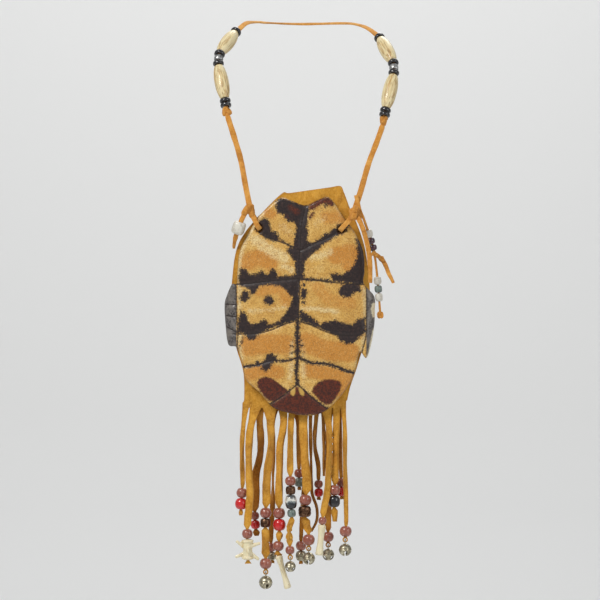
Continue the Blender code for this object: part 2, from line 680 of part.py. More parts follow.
def plastron():
    """The turtle's lower shell plate: notched throat, scute seams, bridges and two lashing holes."""
    outline = scaled(PLATE_OUTLINE, PLATE_WIDTH * 0.98, PLATE_HEIGHT, PLATE_CENTRE_Z)
    holes = [hole_ring(*LASH_HOLES[side], LASH_HOLE, 10) for side in LASH_HOLES]
    lines, bottoms = [], set()
    for seam in SCUTE_SEAMS:
        route = [Vector((u * PLATE_WIDTH / 2, 0.0, PLATE_CENTRE_Z + v * PLATE_HEIGHT / 2)) for u, v in seam]
        middle = evenly(smooth_route(route, 5), SEAM_STEP)
        left, right = [], []
        for i, p in enumerate(middle):
            ahead = (middle[min(i + 1, len(middle) - 1)] - middle[max(i - 1, 0)]).normalized()
            aside = Vector((-ahead.z, 0.0, ahead.x)) * SEAM_GROOVE_WIDTH / 2
            left.append(((p + aside).x, (p + aside).z))
            right.append(((p - aside).x, (p - aside).z))
        lines += [left, right, [(p.x, p.z) for p in middle]]
        bottoms |= {(round(p.x, 6), round(p.z, 6)) for p in middle}

    def place(x, z, who):
        return (x, plate_y(x, z), z)

    bm = sheet_mesh("turtle_plastron", [outline], holes, lines, PLATE_STEP, place, PLATE_THICK)
    for vert in bm.verts:
        if (round(vert.co.x, 6), round(vert.co.z, 6)) in bottoms and vert.co.y < plate_y(vert.co.x, vert.co.z):
            vert.co.y += SEAM_GROOVE_DEPTH
    return add("turtle_plastron", mesh_from(bm, "turtle_plastron"), "shell")


def panel(layer):
    """One suede panel of the pouch, cut in one piece with its strips."""
    name = f"pouch_{layer}_panel"
    keys = [k for k in STRIPS if STRIPS[k][0] == layer]
    outline = scaled(POUCH_OUTLINE, POUCH_WIDTH, POUCH_HEIGHT, BAG_CENTRE_Z, 3)
    sheet = comb_outline(outline, keys)
    holes = [hole_ring(*LASH_HOLES[side], LASH_HOLE) for side in LASH_HOLES]
    holes += [hole_ring(*tab_of(k), TAB_HOLE) for k in keys if k in BELLS]
    lines = {k: strip_points(STRIPS[k]) for k in keys}

    def place(x, z, who):
        if z >= FRINGE_TOP_Z - TOUCH / 3:
            return (x, panel_y(x, z, layer), z)
        nearest = min(keys, key=lambda k: abs(strip_x(lines[k], z) - x) if z > lines[k][-1].z - 0.004 else 1)
        return (x, strip_y(STRIPS[nearest], x, z), z)

    bm = sheet_mesh(name, [sheet], holes, [], SHEET_STEP, place, SUEDE)
    return add(name, mesh_from(bm, name), "suede")


def comb_outline(outline, keys):
    """The pouch's outline with the strips cut into its lower edge."""
    top = [p for p in outline if p[1] > FRINGE_TOP_Z + STRIP_STAND_OFF]
    first = max(range(len(top)), key=lambda i: (top[i - 1][0] - top[i][0]) ** 2 + (top[i - 1][1] - top[i][1]) ** 2)
    body = top[first:] + top[:first]
    ordered = sorted(keys, key=lambda k: -STRIPS[k][1])
    if body[0][0] > body[-1][0]:
        body = body[::-1]
    comb = []
    for key in ordered:
        comb += strip_outline(key)[::-1]
    return body + comb


def bead_objects():
    """Every bead and bone of the front fringe as its own piece; the rest as helpers, by layer."""
    helpers = {"front": [], "back": []}
    for key, strip in STRIPS.items():
        line = strip_points(strip)
        number = 0
        for stack in strip[5]:
            drop = stack[0]
            for kind, size in stack[1]:
                length = item_length(kind, size)
                ends = []
                foot = min(drop + length, strip[4][-1][1]) if "_bone" in kind else drop + length
                for d in (drop, foot):
                    z = FRINGE_TOP_Z - d
                    x = strip_x(line, z)
                    ends.append(Vector((x, strip_y(strip, x, z), z)))
                number += 1
                axis = (ends[0] - ends[1]).normalized()
                middle = (ends[0] + ends[1]) / 2
                if kind in ("long_bone", "short_bone"):
                    middle = ends[0] - axis * length / 2
                fused = strip[0] == "back" or (key, kind) in FUSED_IN_FRONT
                name = f"fringe_{key}_{kind}" + (f"_{number}" if kind == "wood" and number > 1 else "")
                helper = bead(name, kind, size, fused)
                stand_on(helper, middle, axis)
                if fused:
                    helpers[strip[0]].append(helper)
                drop += length + TOUCH
    return helpers


def bead(name, kind, size, fused):
    place = cutters if fused else bag
    bore = NECK_WIDTH * 0.4 if fused else BEAD_BORE
    steps = FUSED_SIDES if fused else SMALL_SIDES if size < SMALL_BEAD else SIDES_AROUND
    material = BEAD_MATERIALS[kind]
    if kind == "long_bone":
        return turned(name, bone_profile(size, BONE_WAIST * 0.92, BONE_KNOB, BONE_BORE), material)
    if kind == "short_bone":
        return turned(name, bone_profile(size, BONE_WAIST * 1.08, BONE_KNOB, BONE_BORE), material)
    if kind == "vertebra":
        return vertebra(name, size)
    return turned(name, bead_profile(size, item_length(kind, size), bore), material, steps, place)


def vertebra(name, size):
    """A small vertebra: a waisted body with a wing to each side and a spine at the back."""
    h, r = size / 2, VERTEBRA_WIDTH / 2
    profile = [(0.9 * r, h), (r, 0.86 * h), (0.74 * r, 0.3 * h), (0.74 * r, -0.3 * h), (r, -0.86 * h),
               (0.9 * r, -h), (BEAD_BORE / 2, -h), (BEAD_BORE / 2, h)]
    body = turned(name, profile, "bone")
    wings = []
    for number, (angle, tilt) in enumerate(((0, 0.35), (180, 0.35), (0, -0.45), (180, -0.45))):
        bm = bmesh.new()
        bmesh.ops.create_cone(bm, cap_ends=True, segments=7, radius1=WING_ROOT / 2, radius2=WING_TIP / 2,
                              depth=WING_LENGTH)
        turn = Matrix.Rotation(math.radians(angle), 4, "Z") @ Matrix.Translation((r + WING_LENGTH * 0.1, 0, tilt * size))
        turn = turn @ Matrix.Rotation(math.radians(90 - 32 * tilt), 4, "Y")
        bmesh.ops.transform(bm, matrix=turn, verts=bm.verts)
        wing = add(f"{name}_wing_{number}", mesh_from(bm, name + "_wing"), "bone", cutters)
        wing.parent = body
        wings.append(wing)
    join(body, wings)
    return body


def bell(key):
    """A small round bell: hollow, slotted below, with a ring through the strip's tab."""
    x, z, y = bell_pivot(key)
    radius = BELLS[key] / 2
    inner = radius - BELL_WALL
    hang = BELL_RING_SUNK - BELL_RING_RADIUS - radius
    outer_ring, inner_ring = [], []
    outer_steps, inner_steps = 5, 3
    for i in range(outer_steps + 1):
        a = math.radians(88 - 160 * i / outer_steps)
        outer_ring.append((radius * math.cos(a), radius * math.sin(a)))
    for i in range(inner_steps + 1):
        a = math.radians(-72 + 160 * i / inner_steps)
        inner_ring.append((inner * math.cos(a), inner * math.sin(a)))
    name = f"bell_{key}"
    bm = bmesh.new()
    chain = [bm.verts.new((0, 0, radius))] + [bm.verts.new((r, 0, h)) for r, h in outer_ring[1:]]
    chain += [bm.verts.new((r, 0, h)) for r, h in inner_ring[:-1]] + [bm.verts.new((0, 0, inner))]
    for a, b in zip(chain, chain[1:]):
        bm.edges.new((a, b))
    ball = add(name, mesh_from(bm, name, recalculate=False), "bell_metal")
    screw = ball.modifiers.new("turn", "SCREW")
    screw.steps = screw.render_steps = SIDES_AROUND
    screw.use_merge_vertices = True
    screw.merge_threshold = 0.00001
    bm = bmesh.new()
    bmesh.ops.create_cube(bm, size=1.0)
    bmesh.ops.scale(bm, vec=(3 * radius, BELL_SLOT, 1.1 * radius), verts=bm.verts)
    bmesh.ops.translate(bm, vec=(0, 0, -0.72 * radius), verts=bm.verts)
    slot = add(name + "_slot", mesh_from(bm, name + "_slot"), None, cutters)
    bpy.ops.mesh.primitive_torus_add(
        major_radius=BELL_RING_RADIUS, minor_radius=BELL_RING_WIRE / 2, major_segments=10, minor_segments=5,
        rotation=(0, math.pi / 2, 0), location=(0, 0, 0))
    ring = bpy.context.object
    ring.name = name + "_ring"
    for collection in list(ring.users_collection):
        collection.objects.unlink(ring)
    cutters.objects.link(ring)
    # The bell turns about the middle of its ring.
    pivot = bpy.data.objects.new(name + "_pivot", None)
    bag.objects.link(pivot)
    pivot.location = (x, y, z)
    for piece in (ball, slot, ring):
        piece.parent = pivot
        piece.location = (0, 0, 0 if piece is ring else hang)
    join(ball, [slot], "DIFFERENCE")
    join(ball, [ring])
    return ball


def strap_route():
    return smooth_route(STRAP_LEFT[::-1] + STRAP_RIGHT, 8)


def string_pieces():
    """Stacks the discs, silver beads and hairpipes on the thong, outward from each stop knot."""
    route = strap_route()
    total = lengths(route)[-1]
    kinds = {
        "disc": (DISC_THICK, bead_profile(DISC_DIAMETER, DISC_THICK, DISC_BORE, "disc"), "black_glass"),
        "silver_bead": (SILVER_LENGTH, bead_profile(SILVER_DIAMETER, SILVER_LENGTH, DISC_BORE), "silver"),
        "hairpipe": (HAIRPIPE_LENGTH, hairpipe_profile(), "bone"),
        "stop_knot": (STOP_KNOT_LENGTH, bead_profile(STOP_KNOT_DIAMETER, STOP_KNOT_LENGTH, DISC_BORE),
                      "thong_suede"),
    }
    order = ["stop_knot", "disc", "disc", "hairpipe", "disc", "silver_bead", "disc", "hairpipe", "disc"]
    for side, first in (("left", STOP_LEFT), ("right", STOP_RIGHT)):
        start = min(range(len(route)), key=lambda i: (route[i] - Vector(first)).length)
        along = lengths(route)[start]
        if side == "right":
            along = total - along
        counts = {}
        for kind in order:
            length, profile, material = kinds[kind]
            counts[kind] = counts.get(kind, 0) + 1
            name = f"{side}_{kind}" + ("" if kind in ("stop_knot", "silver_bead") else f"_{counts[kind]}")
            spots = [s if side == "left" else total - s for s in (along, along + length)]
            a, b = (point_at(route, s) for s in spots)
            piece = turned(name, profile, material, PIPE_SIDES if kind == "hairpipe" else SIDES_AROUND)
            stand_on(piece, (a + b) / 2, (b - a).normalized())
            along += length + STRUNG
    return route


def lump(name, place, size, material, collection=None):
    """A pulled knot: a low ball with a dimple to it."""
    bm = bmesh.new()
    bmesh.ops.create_uvsphere(bm, u_segments=SMALL_SIDES, v_segments=6, radius=0.5)
    for vert in bm.verts:
        vert.co *= 1 + 0.10 * math.sin(3 * math.atan2(vert.co.z, vert.co.x)) * (1 - abs(2 * vert.co.y))
    bmesh.ops.scale(bm, vec=size, verts=bm.verts)
    bmesh.ops.translate(bm, vec=place, verts=bm.verts)
    return add(name, mesh_from(bm, name), material, collection)


def lashing(side):
    """The thong that ties the plate and both panels to the strap, in a loop round their edge."""
    sign = -1 if side == "left" else 1
    hole_x, hole_z = LASH_HOLES[side]
    end = Vector(STRAP_LEFT[-1] if side == "left" else STRAP_RIGHT[-1])
    knot = end + Vector((0.0002 * sign, -0.0004, -KNOT_HEIGHT / 2 - TOUCH))
    front = plate_y(hole_x, hole_z) - PLATE_THICK / 2 - LASH_THONG * 0.62
    back = panel_y(hole_x, hole_z, "back") + SUEDE / 2 + LASH_THONG * 0.75
    rim_x = knot.x + 0.0012 * sign
    loop = [
        knot + Vector((-0.0010 * sign, -0.0006, -0.0008)),
        Vector((hole_x * 0.55 + knot.x * 0.45, front - 0.0006, hole_z * 0.55 + knot.z * 0.45)),
        Vector((hole_x + 0.0009 * sign, front - 0.0002, hole_z + 0.0012)),
        Vector((hole_x, front + 0.0020, hole_z)),
        Vector((hole_x, (front + back) / 2, hole_z)),
        Vector((hole_x, back - 0.0020, hole_z)),
        Vector((hole_x + 0.0009 * sign, back + 0.0002, hole_z + 0.0012)),
        Vector((hole_x * 0.45 + knot.x * 0.55, back + 0.0006, hole_z * 0.35 + knot.z * 0.65)),
        Vector((rim_x, BAG_SEAM_Y + 0.0010, knot.z + 0.0008)),
        Vector((rim_x, (BAG_SEAM_Y + knot.y) / 2, knot.z + 0.0006)),
    ]
    route = evenly(smooth_route(loop + [knot + Vector((0.0004 * sign, 0.0006, 0.0004))], 6), 0.0024)
    body = lump(f"{side}_lashing", knot, (KNOT_WIDTH, KNOT_DEPTH, KNOT_HEIGHT), "thong_suede")
    thong = add(f"{side}_lashing_loop", tube_mesh(f"{side}_lashing_loop", route, LASH_THONG), None, cutters)
    join(body, [thong])
    return body


def strung(name, route, beads, start, material_of, bore):
    """Beads side by side on a thong, from this far along it; returns how far they reach."""
    along = start
    for number, (kind, diameter, length) in enumerate(beads, 1):
        a, b = (point_at(route, s) for s in (along, along + length))
        made = turned(f"{name}_{number}" if len(beads) > 1 else name,
                      bead_profile(diameter, length, bore), material_of[kind], SMALL_SIDES)
        stand_on(made, (a + b) / 2, (b - a).normalized())
        along += length + STRUNG
    return along


SIDE_MATERIALS = {"white": "white_glass", "plum": "plum_glass", "grey": "grey_glass"}
LEFT_SIDE_BEAD = [("white", 0.0090, 0.0090)]
RIGHT_UPPER_BEADS = [("white", 0.0062, 0.0056), ("plum", 0.0060, 0.0044), ("plum", 0.0058, 0.0042)]
RIGHT_LOWER_BEADS = [("white", 0.0054, 0.0056), ("grey", 0.0054, 0.0050), ("white", 0.0054, 0.0056)]
SIDE_BORE = 0.0026
# The loose thongs' routes: x, y, z
LEFT_BEAD_THONG = [
    (-0.0380, -0.1345, -0.1430), (-0.0405, -0.1355, -0.1480), (-0.0428, -0.1350, -0.1540),
    (-0.0450, -0.1325, -0.1605), (-0.0460, -0.1295, -0.1650), (-0.0464, -0.1270, -0.1682),
]
RIGHT_EDGE_THONG = [
    (0.0398, -0.1358, -0.1462), (0.0420, -0.1388, -0.1502), (0.0442, -0.1403, -0.1560),
    (0.0464, -0.1396, -0.1640), (0.0480, -0.1388, -0.1720), (0.0488, -0.1385, -0.1800),
    (0.0490, -0.1385, -0.1870), (0.0489, -0.1388, -0.1925),
]
RIGHT_SIDE_THONG = [
    (0.0436, -0.1328, -0.1452), (0.0450, -0.1322, -0.1490), (0.0466, -0.1310, -0.1535),
    (0.0485, -0.1290, -0.1600), (0.0508, -0.1275, -0.1670), (0.0524, -0.1268, -0.1740),
    (0.0536, -0.1262, -0.1830), (0.0544, -0.1255, -0.1910), (0.0550, -0.1250, -0.1980),
    (0.0556, -0.1248, -0.2050), (0.0560, -0.1248, -0.2110), (0.0563, -0.1250, -0.2150),
]
UPPER_BEADS_START = 0.0110
LOWER_BEADS_START = 0.0450


def side_thongs():
    """The loose thongs beside the lashing knots, with what is strung on them."""
    left = smooth_route(LEFT_BEAD_THONG)
    strung("left_side_bead", left, LEFT_SIDE_BEAD, 0.0078, SIDE_MATERIALS, SIDE_BORE)
    right = smooth_route(RIGHT_SIDE_THONG)
    strung("right_upper_bead", right, RIGHT_UPPER_BEADS, UPPER_BEADS_START, SIDE_MATERIALS, SIDE_BORE)
    strung("right_lower_bead", right, RIGHT_LOWER_BEADS, LOWER_BEADS_START, SIDE_MATERIALS, SIDE_BORE)
    for name, route in (("right_edge_thong", RIGHT_EDGE_THONG), ("right_side_thong", RIGHT_SIDE_THONG)):
        tube_curve(name, evenly(smooth_route(route), SIDE_THONG * 2.4), SIDE_THONG, "thong_suede")
    return tube_mesh("left_bead_thong", evenly(left, SIDE_THONG * 1.6), SIDE_THONG)


def main():
    plastron()
    front, back = panel("front"), panel("back")
    helpers = bead_objects()
    join(front, helpers["front"])
    join(back, helpers["back"])
    for key in BELLS:
        bell(key)
    route = string_pieces()
    tube_curve("neck_thong", evenly(route, NECK_THONG * 3), NECK_THONG, "thong_suede")
    left, right = (lashing(side) for side in ("left", "right"))
    branch = add("left_bead_thong", side_thongs(), None, cutters)
    join(left, [branch])


main()
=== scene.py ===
import math

import bmesh
import bpy
import numpy as np
from mathutils import Matrix, Vector, noise
from mathutils.geometry import delaunay_2d_cdt
from mathutils.kdtree import KDTree


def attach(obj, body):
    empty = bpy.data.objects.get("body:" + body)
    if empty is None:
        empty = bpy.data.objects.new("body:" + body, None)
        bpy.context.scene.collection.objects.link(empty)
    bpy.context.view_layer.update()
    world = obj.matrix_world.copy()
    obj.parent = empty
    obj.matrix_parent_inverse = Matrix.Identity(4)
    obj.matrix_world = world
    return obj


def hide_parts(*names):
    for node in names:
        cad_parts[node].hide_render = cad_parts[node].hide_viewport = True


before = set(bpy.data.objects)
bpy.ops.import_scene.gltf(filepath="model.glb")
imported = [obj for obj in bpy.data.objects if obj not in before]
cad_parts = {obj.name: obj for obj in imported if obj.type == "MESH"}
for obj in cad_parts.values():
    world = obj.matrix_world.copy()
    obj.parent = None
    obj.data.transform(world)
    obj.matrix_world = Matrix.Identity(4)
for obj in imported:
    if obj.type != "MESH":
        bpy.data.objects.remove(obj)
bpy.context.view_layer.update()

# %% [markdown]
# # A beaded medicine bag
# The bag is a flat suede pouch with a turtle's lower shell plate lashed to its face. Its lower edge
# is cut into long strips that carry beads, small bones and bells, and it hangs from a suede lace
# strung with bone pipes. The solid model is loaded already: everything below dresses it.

# %% [markdown]
# ## Placing things by the solid model
# A bead's middle and its axis follow the strip or lace that it is strung on, so the same way points
# are kept here as in the solids. Both drawn outlines are shares of a half width and a half height.

# %% Where the bag hangs, and the pouch's and the plate's sizes
BAG_CENTRE_Z = -0.2051
BAG_SEAM_Y = -0.124
POUCH_WIDTH = 0.098
POUCH_HEIGHT = 0.161
POUCH_SWELL = 0.0064
MOUTH_SLACK = 0.5
SUEDE = 0.0016
TOUCH = 0.0003
PLATE_WIDTH = 0.091
PLATE_HEIGHT = 0.152
PLATE_CENTRE_Z = BAG_CENTRE_Z - 0.0038
PLATE_THICK = 0.0028
PLATE_CURL = 0.0060
LASH_HOLES = {"left": (-0.0285, PLATE_CENTRE_Z + 0.0545),
              "right": (0.0285, PLATE_CENTRE_Z + 0.0535)}
FRINGE_TOP_Z = -0.280
NECK_WIDTH = 0.0018
PX = 0.0007               # one unit of the drawn layout, in metres
LAYOUT_MIDDLE = 300       # the layout's unit that lies at x = 0
LAYOUT_NAPE = 8           # the layout's unit that lies at z = 0


def from_layout(x, y):
    """A point of the front layout, 600 units square, as x and z in metres."""
    return (x - LAYOUT_MIDDLE) * PX, (LAYOUT_NAPE - y) * PX


# %% Outlines as shares of a half width and a half height
PLATE_OUTLINE = [
    (-0.331, 0.991), (-0.138, 0.972), (0.077, 0.931), (0.277, 0.977), (0.462, 1.0),
    (0.677, 0.825), (0.846, 0.691), (0.985, 0.516), (1.011, 0.332), (1.0, 0.212),
    (1.165, 0.092), (1.175, -0.045), (1.165, -0.184), (1.108, -0.369), (1.038, -0.475),
    (0.934, -0.424), (0.846, -0.627), (0.692, -0.783), (0.446, -0.94), (0.215, -1.0),
    (-0.077, -0.991), (-0.415, -0.931), (-0.631, -0.793), (-0.846, -0.673),
    (-0.908, -0.516), (-0.992, -0.378), (-1.123, -0.35), (-1.169, -0.175),
    (-1.185, 0.009), (-1.154, 0.092), (-1.069, 0.203), (-0.992, 0.212),
    (-0.978, 0.332), (-0.938, 0.516), (-0.762, 0.719), (-0.631, 0.839),
]
POUCH_OUTLINE = [
    (-0.261, 0.932), (-0.13, 0.939), (0.394, 0.985), (0.571, 1.0), (0.624, 0.948),
    (0.711, 0.806), (0.8, 0.687), (0.914, 0.487), (0.971, 0.27), (1.0, 0.009),
    (0.975, -0.252), (0.87, -0.46), (0.8, -0.6), (0.72, -0.74), (0.675, -0.861), (0.665, -0.93),
    (0.0, -1.0), (-0.82, -0.93), (-0.8, -0.861), (-0.8, -0.678), (-0.83, -0.56), (-0.9, -0.426),
    (-1.0, -0.165), (-0.986, 0.009), (-0.971, 0.157), (-0.929, 0.383),
    (-0.857, 0.522), (-0.714, 0.652), (-0.586, 0.739),
]


def closed_curve(outline, width, height, centre_z, steps):
    """An outline's shares as a fine closed Catmull-Rom curve of (x, z) in metres."""
    knots = [Vector((u * width / 2, centre_z + v * height / 2)) for u, v in outline]
    ring = []
    for i in range(len(knots)):
        a, b, c, d = (knots[(i + k) % len(knots)] for k in (-1, 0, 1, 2))
        for j in range(steps):
            t = j / steps
            ring.append(0.5 * (2 * b + (c - a) * t + (2 * a - 5 * b + 4 * c - d) * t ** 2
                               + (3 * b - a - 3 * c + d) * t ** 3))
    return ring


PLATE_NARROWED = 0.98     # the worn plate's width as a share of the solid's
plate_ring = closed_curve(PLATE_OUTLINE, PLATE_WIDTH * PLATE_NARROWED, PLATE_HEIGHT,
                          PLATE_CENTRE_Z, 12)
pouch_ring = closed_curve(POUCH_OUTLINE, POUCH_WIDTH, POUCH_HEIGHT, BAG_CENTRE_Z, 8)
print("plate's edge", len(plate_ring), "points; pouch's edge", len(pouch_ring))


# %% How the pouch bows and how the plate is bent
def half_width_at(rise):
    """The pouch's half width at a share of its half height."""
    right = sorted([p for p in POUCH_OUTLINE if p[0] > 0.5], key=lambda p: -p[1])
    right = [(0.624, 1.1)] + right + [(0.5, -1.1)]
    for (x0, y0), (x1, y1) in zip(right, right[1:]):
        if y0 >= rise > y1:
            return (x0 + (x1 - x0) * (y0 - rise) / (y0 - y1)) * POUCH_WIDTH / 2
    return 0.5 * POUCH_WIDTH / 2


def swell(x, z):
    """How far the pouch bows here, from 0 at its edge to 1 in its middle."""
    rise = (z - BAG_CENTRE_Z) / (POUCH_HEIGHT / 2)
    across = min(1.0, abs(x) / half_width_at(max(-1.0, min(1.0, rise))))
    up = 1 - (1 - MOUTH_SLACK) * rise ** 2 if rise > 0 else 1 - rise ** 2
    return max(0.0, (1 - across ** 2) * up)


def panel_y(x, z, layer):
    """Where the middle of a panel's leather lies, front to back."""
    side = -1 if layer == "front" else 1
    return BAG_SEAM_Y + side * (SUEDE / 2 + TOUCH / 2 + POUCH_SWELL * swell(x, z))


BRIDGE_STARTS = 0.94      # the share of the half width from which a bridge bends back
BRIDGE_REACH = 0.24       # the share over which it bends


def plate_y(x, z):
    """Where the middle of the shell's thickness lies, front to back."""
    across = x / (PLATE_WIDTH / 2)
    up = (z - PLATE_CENTRE_Z) / (PLATE_HEIGHT / 2)
    bow = (1 - 0.5 * min(1.0, across ** 2)) * (1 - 0.32 * min(1.0, up ** 2))
    bridge = max(0.0, abs(across) - BRIDGE_STARTS)
    back = PLATE_CURL * min(1.0, bridge / BRIDGE_REACH) ** 1.8
    stand_off = SUEDE + TOUCH * 2.5 + PLATE_THICK / 2
    return BAG_SEAM_Y - stand_off - POUCH_SWELL * bow + back


# %% [markdown]
# ## Lines that bend smoothly
# Strips, laces and seams all follow a smooth line through a few chosen points. A curve whose slopes
# allow for uneven spacing doesn't overshoot where two points lie close together.

# %% Smooth lines
def smooth_route(points, steps=8):
    """A smooth line through the points, with so many steps between two of them."""
    knots = [Vector(p) for p in points]
    gaps = [(b - a).length for a, b in zip(knots, knots[1:])]
    steep = [(b - a) / d for a, b, d in zip(knots, knots[1:], gaps)]
    slopes = [steep[0]]
    for i in range(1, len(knots) - 1):
        slopes.append((steep[i - 1] * gaps[i] + steep[i] * gaps[i - 1]) / (gaps[i - 1] + gaps[i]))
    slopes.append(steep[-1])
    route = []
    for i, gap in enumerate(gaps):
        for j in range(steps):
            t = j / steps
            route.append(knots[i] * (2 * t ** 3 - 3 * t ** 2 + 1)
                         + slopes[i] * gap * (t ** 3 - 2 * t ** 2 + t)
                         + knots[i + 1] * (3 * t ** 2 - 2 * t ** 3)
                         + slopes[i + 1] * gap * (t ** 3 - t ** 2))
    return route + [knots[-1]]


def length_of(route):
    return sum((b - a).length for a, b in zip(route, route[1:]))


def point_at(route, along):
    """The point that lies so many metres along a route."""
    gone = 0.0
    for a, b in zip(route, route[1:]):
        step = (b - a).length
        if gone + step >= along:
            return a.lerp(b, (along - gone) / step)
        gone += step
    return route[-1].copy()


def evenly(route, spacing):
    """The route as points that lie about the spacing apart."""
    total = length_of(route)
    count = max(2, round(total / spacing))
    return [point_at(route, total * i / count) for i in range(count + 1)]


# %% [markdown]
# ## Making a piece
# Each shape is worked in a bmesh in its own small frame, where z is its axis. Its points there are
# kept as an attribute called local, so that grain and streaks follow the piece, and only then is it
# put in its place on the bag.

# %% From a bmesh to a finished piece
MADE = {}                 # how many faces each piece has
WELD = 0.00001            # points nearer than this are one


def add_object(name, data):
    """Puts a mesh, lamp or camera in the scene."""
    thing = bpy.data.objects.new(name, data)
    bpy.context.scene.collection.objects.link(thing)
    return thing


def to_mesh(name, bm):
    """Hands a bmesh over to a new mesh."""
    data = bpy.data.meshes.new(name)
    bm.to_mesh(data)
    bm.free()
    return data


def merge(bm, other):
    """Adds another bmesh's shape to this one."""
    data = to_mesh("part", other)
    bm.from_mesh(data)
    bpy.data.meshes.remove(data)
    return bm


def with_modifiers(thing):
    """A helper object's shape after its modifiers, as a bmesh; the object is taken away."""
    depsgraph = bpy.context.evaluated_depsgraph_get()
    data = bpy.data.meshes.new_from_object(thing.evaluated_get(depsgraph))
    bpy.data.objects.remove(thing)
    bm = bmesh.new()
    bm.from_mesh(data)
    bpy.data.meshes.remove(data)
    return bm


def keep_local(bm):
    """Remembers where each point lies in the piece's own frame, for the materials."""
    layer = bm.verts.layers.float_vector.new("local")
    for vert in bm.verts:
        vert[layer] = vert.co
    return bm


def finish_piece(name, bm, material, body="bag", replaces=(), sharp=50):
    """Turns the bmesh into an object at the origin that rides on a body."""
    data = to_mesh(name, bm)
    data.materials.append(material)
    data.shade_smooth()
    data.set_sharp_from_angle(angle=math.radians(sharp))
    piece = add_object(name, data)
    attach(piece, body)
    if replaces:
        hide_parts(*replaces)
    MADE[name] = len(data.polygons)
    return piece


def spin_round(bm, geom, steps):
    """Spins a section a full turn about z."""
    bmesh.ops.spin(bm, geom=geom, cent=(0, 0, 0), axis=(0, 0, 1), dvec=(0, 0, 0), angle=2 * math.pi,
                   steps=steps, use_merge=True, use_duplicate=False)


def turn(profile, steps):
    """Spins a closed half section (radius, height) into a solid ring with its faces outwards."""
    bm = bmesh.new()
    verts = [bm.verts.new((r, 0.0, z)) for r, z in profile]
    for a, b in zip(verts, verts[1:] + verts[:1]):
        bm.edges.new((a, b))
    spin_round(bm, bm.verts[:] + bm.edges[:], steps)
    bmesh.ops.remove_doubles(bm, verts=bm.verts, dist=WELD)
    bmesh.ops.recalc_face_normals(bm, faces=bm.faces)
    return bm


def stand(place, axis):
    """The matrix that carries z onto the axis, at the place."""
    return Matrix.Translation(place) @ axis.to_track_quat("Z", "Y").to_matrix().to_4x4()


def put(bm, place, axis, roll=0.0):
    """Moves a piece's bmesh so that its z axis lies along axis."""
    turn_to = stand(place, axis) @ Matrix.Rotation(roll, 4, "Z")
    bmesh.ops.transform(bm, matrix=turn_to, verts=bm.verts)
    return bm


def roughen(bm, amount, offset, scale=380):
    """Takes a piece out of true by a share of its size, as hand work does."""
    for vert in bm.verts:
        vert.co *= 1 + amount * noise.noise(vert.co * scale + Vector(offset))


# %% [markdown]
# ## Materials
# Every finish is built from nodes: a base colour broken up by noise at the real scale, a roughness
# that varies where hands have polished it, and a bump for nap, grain or pits. A small helper keeps
# the node code short.

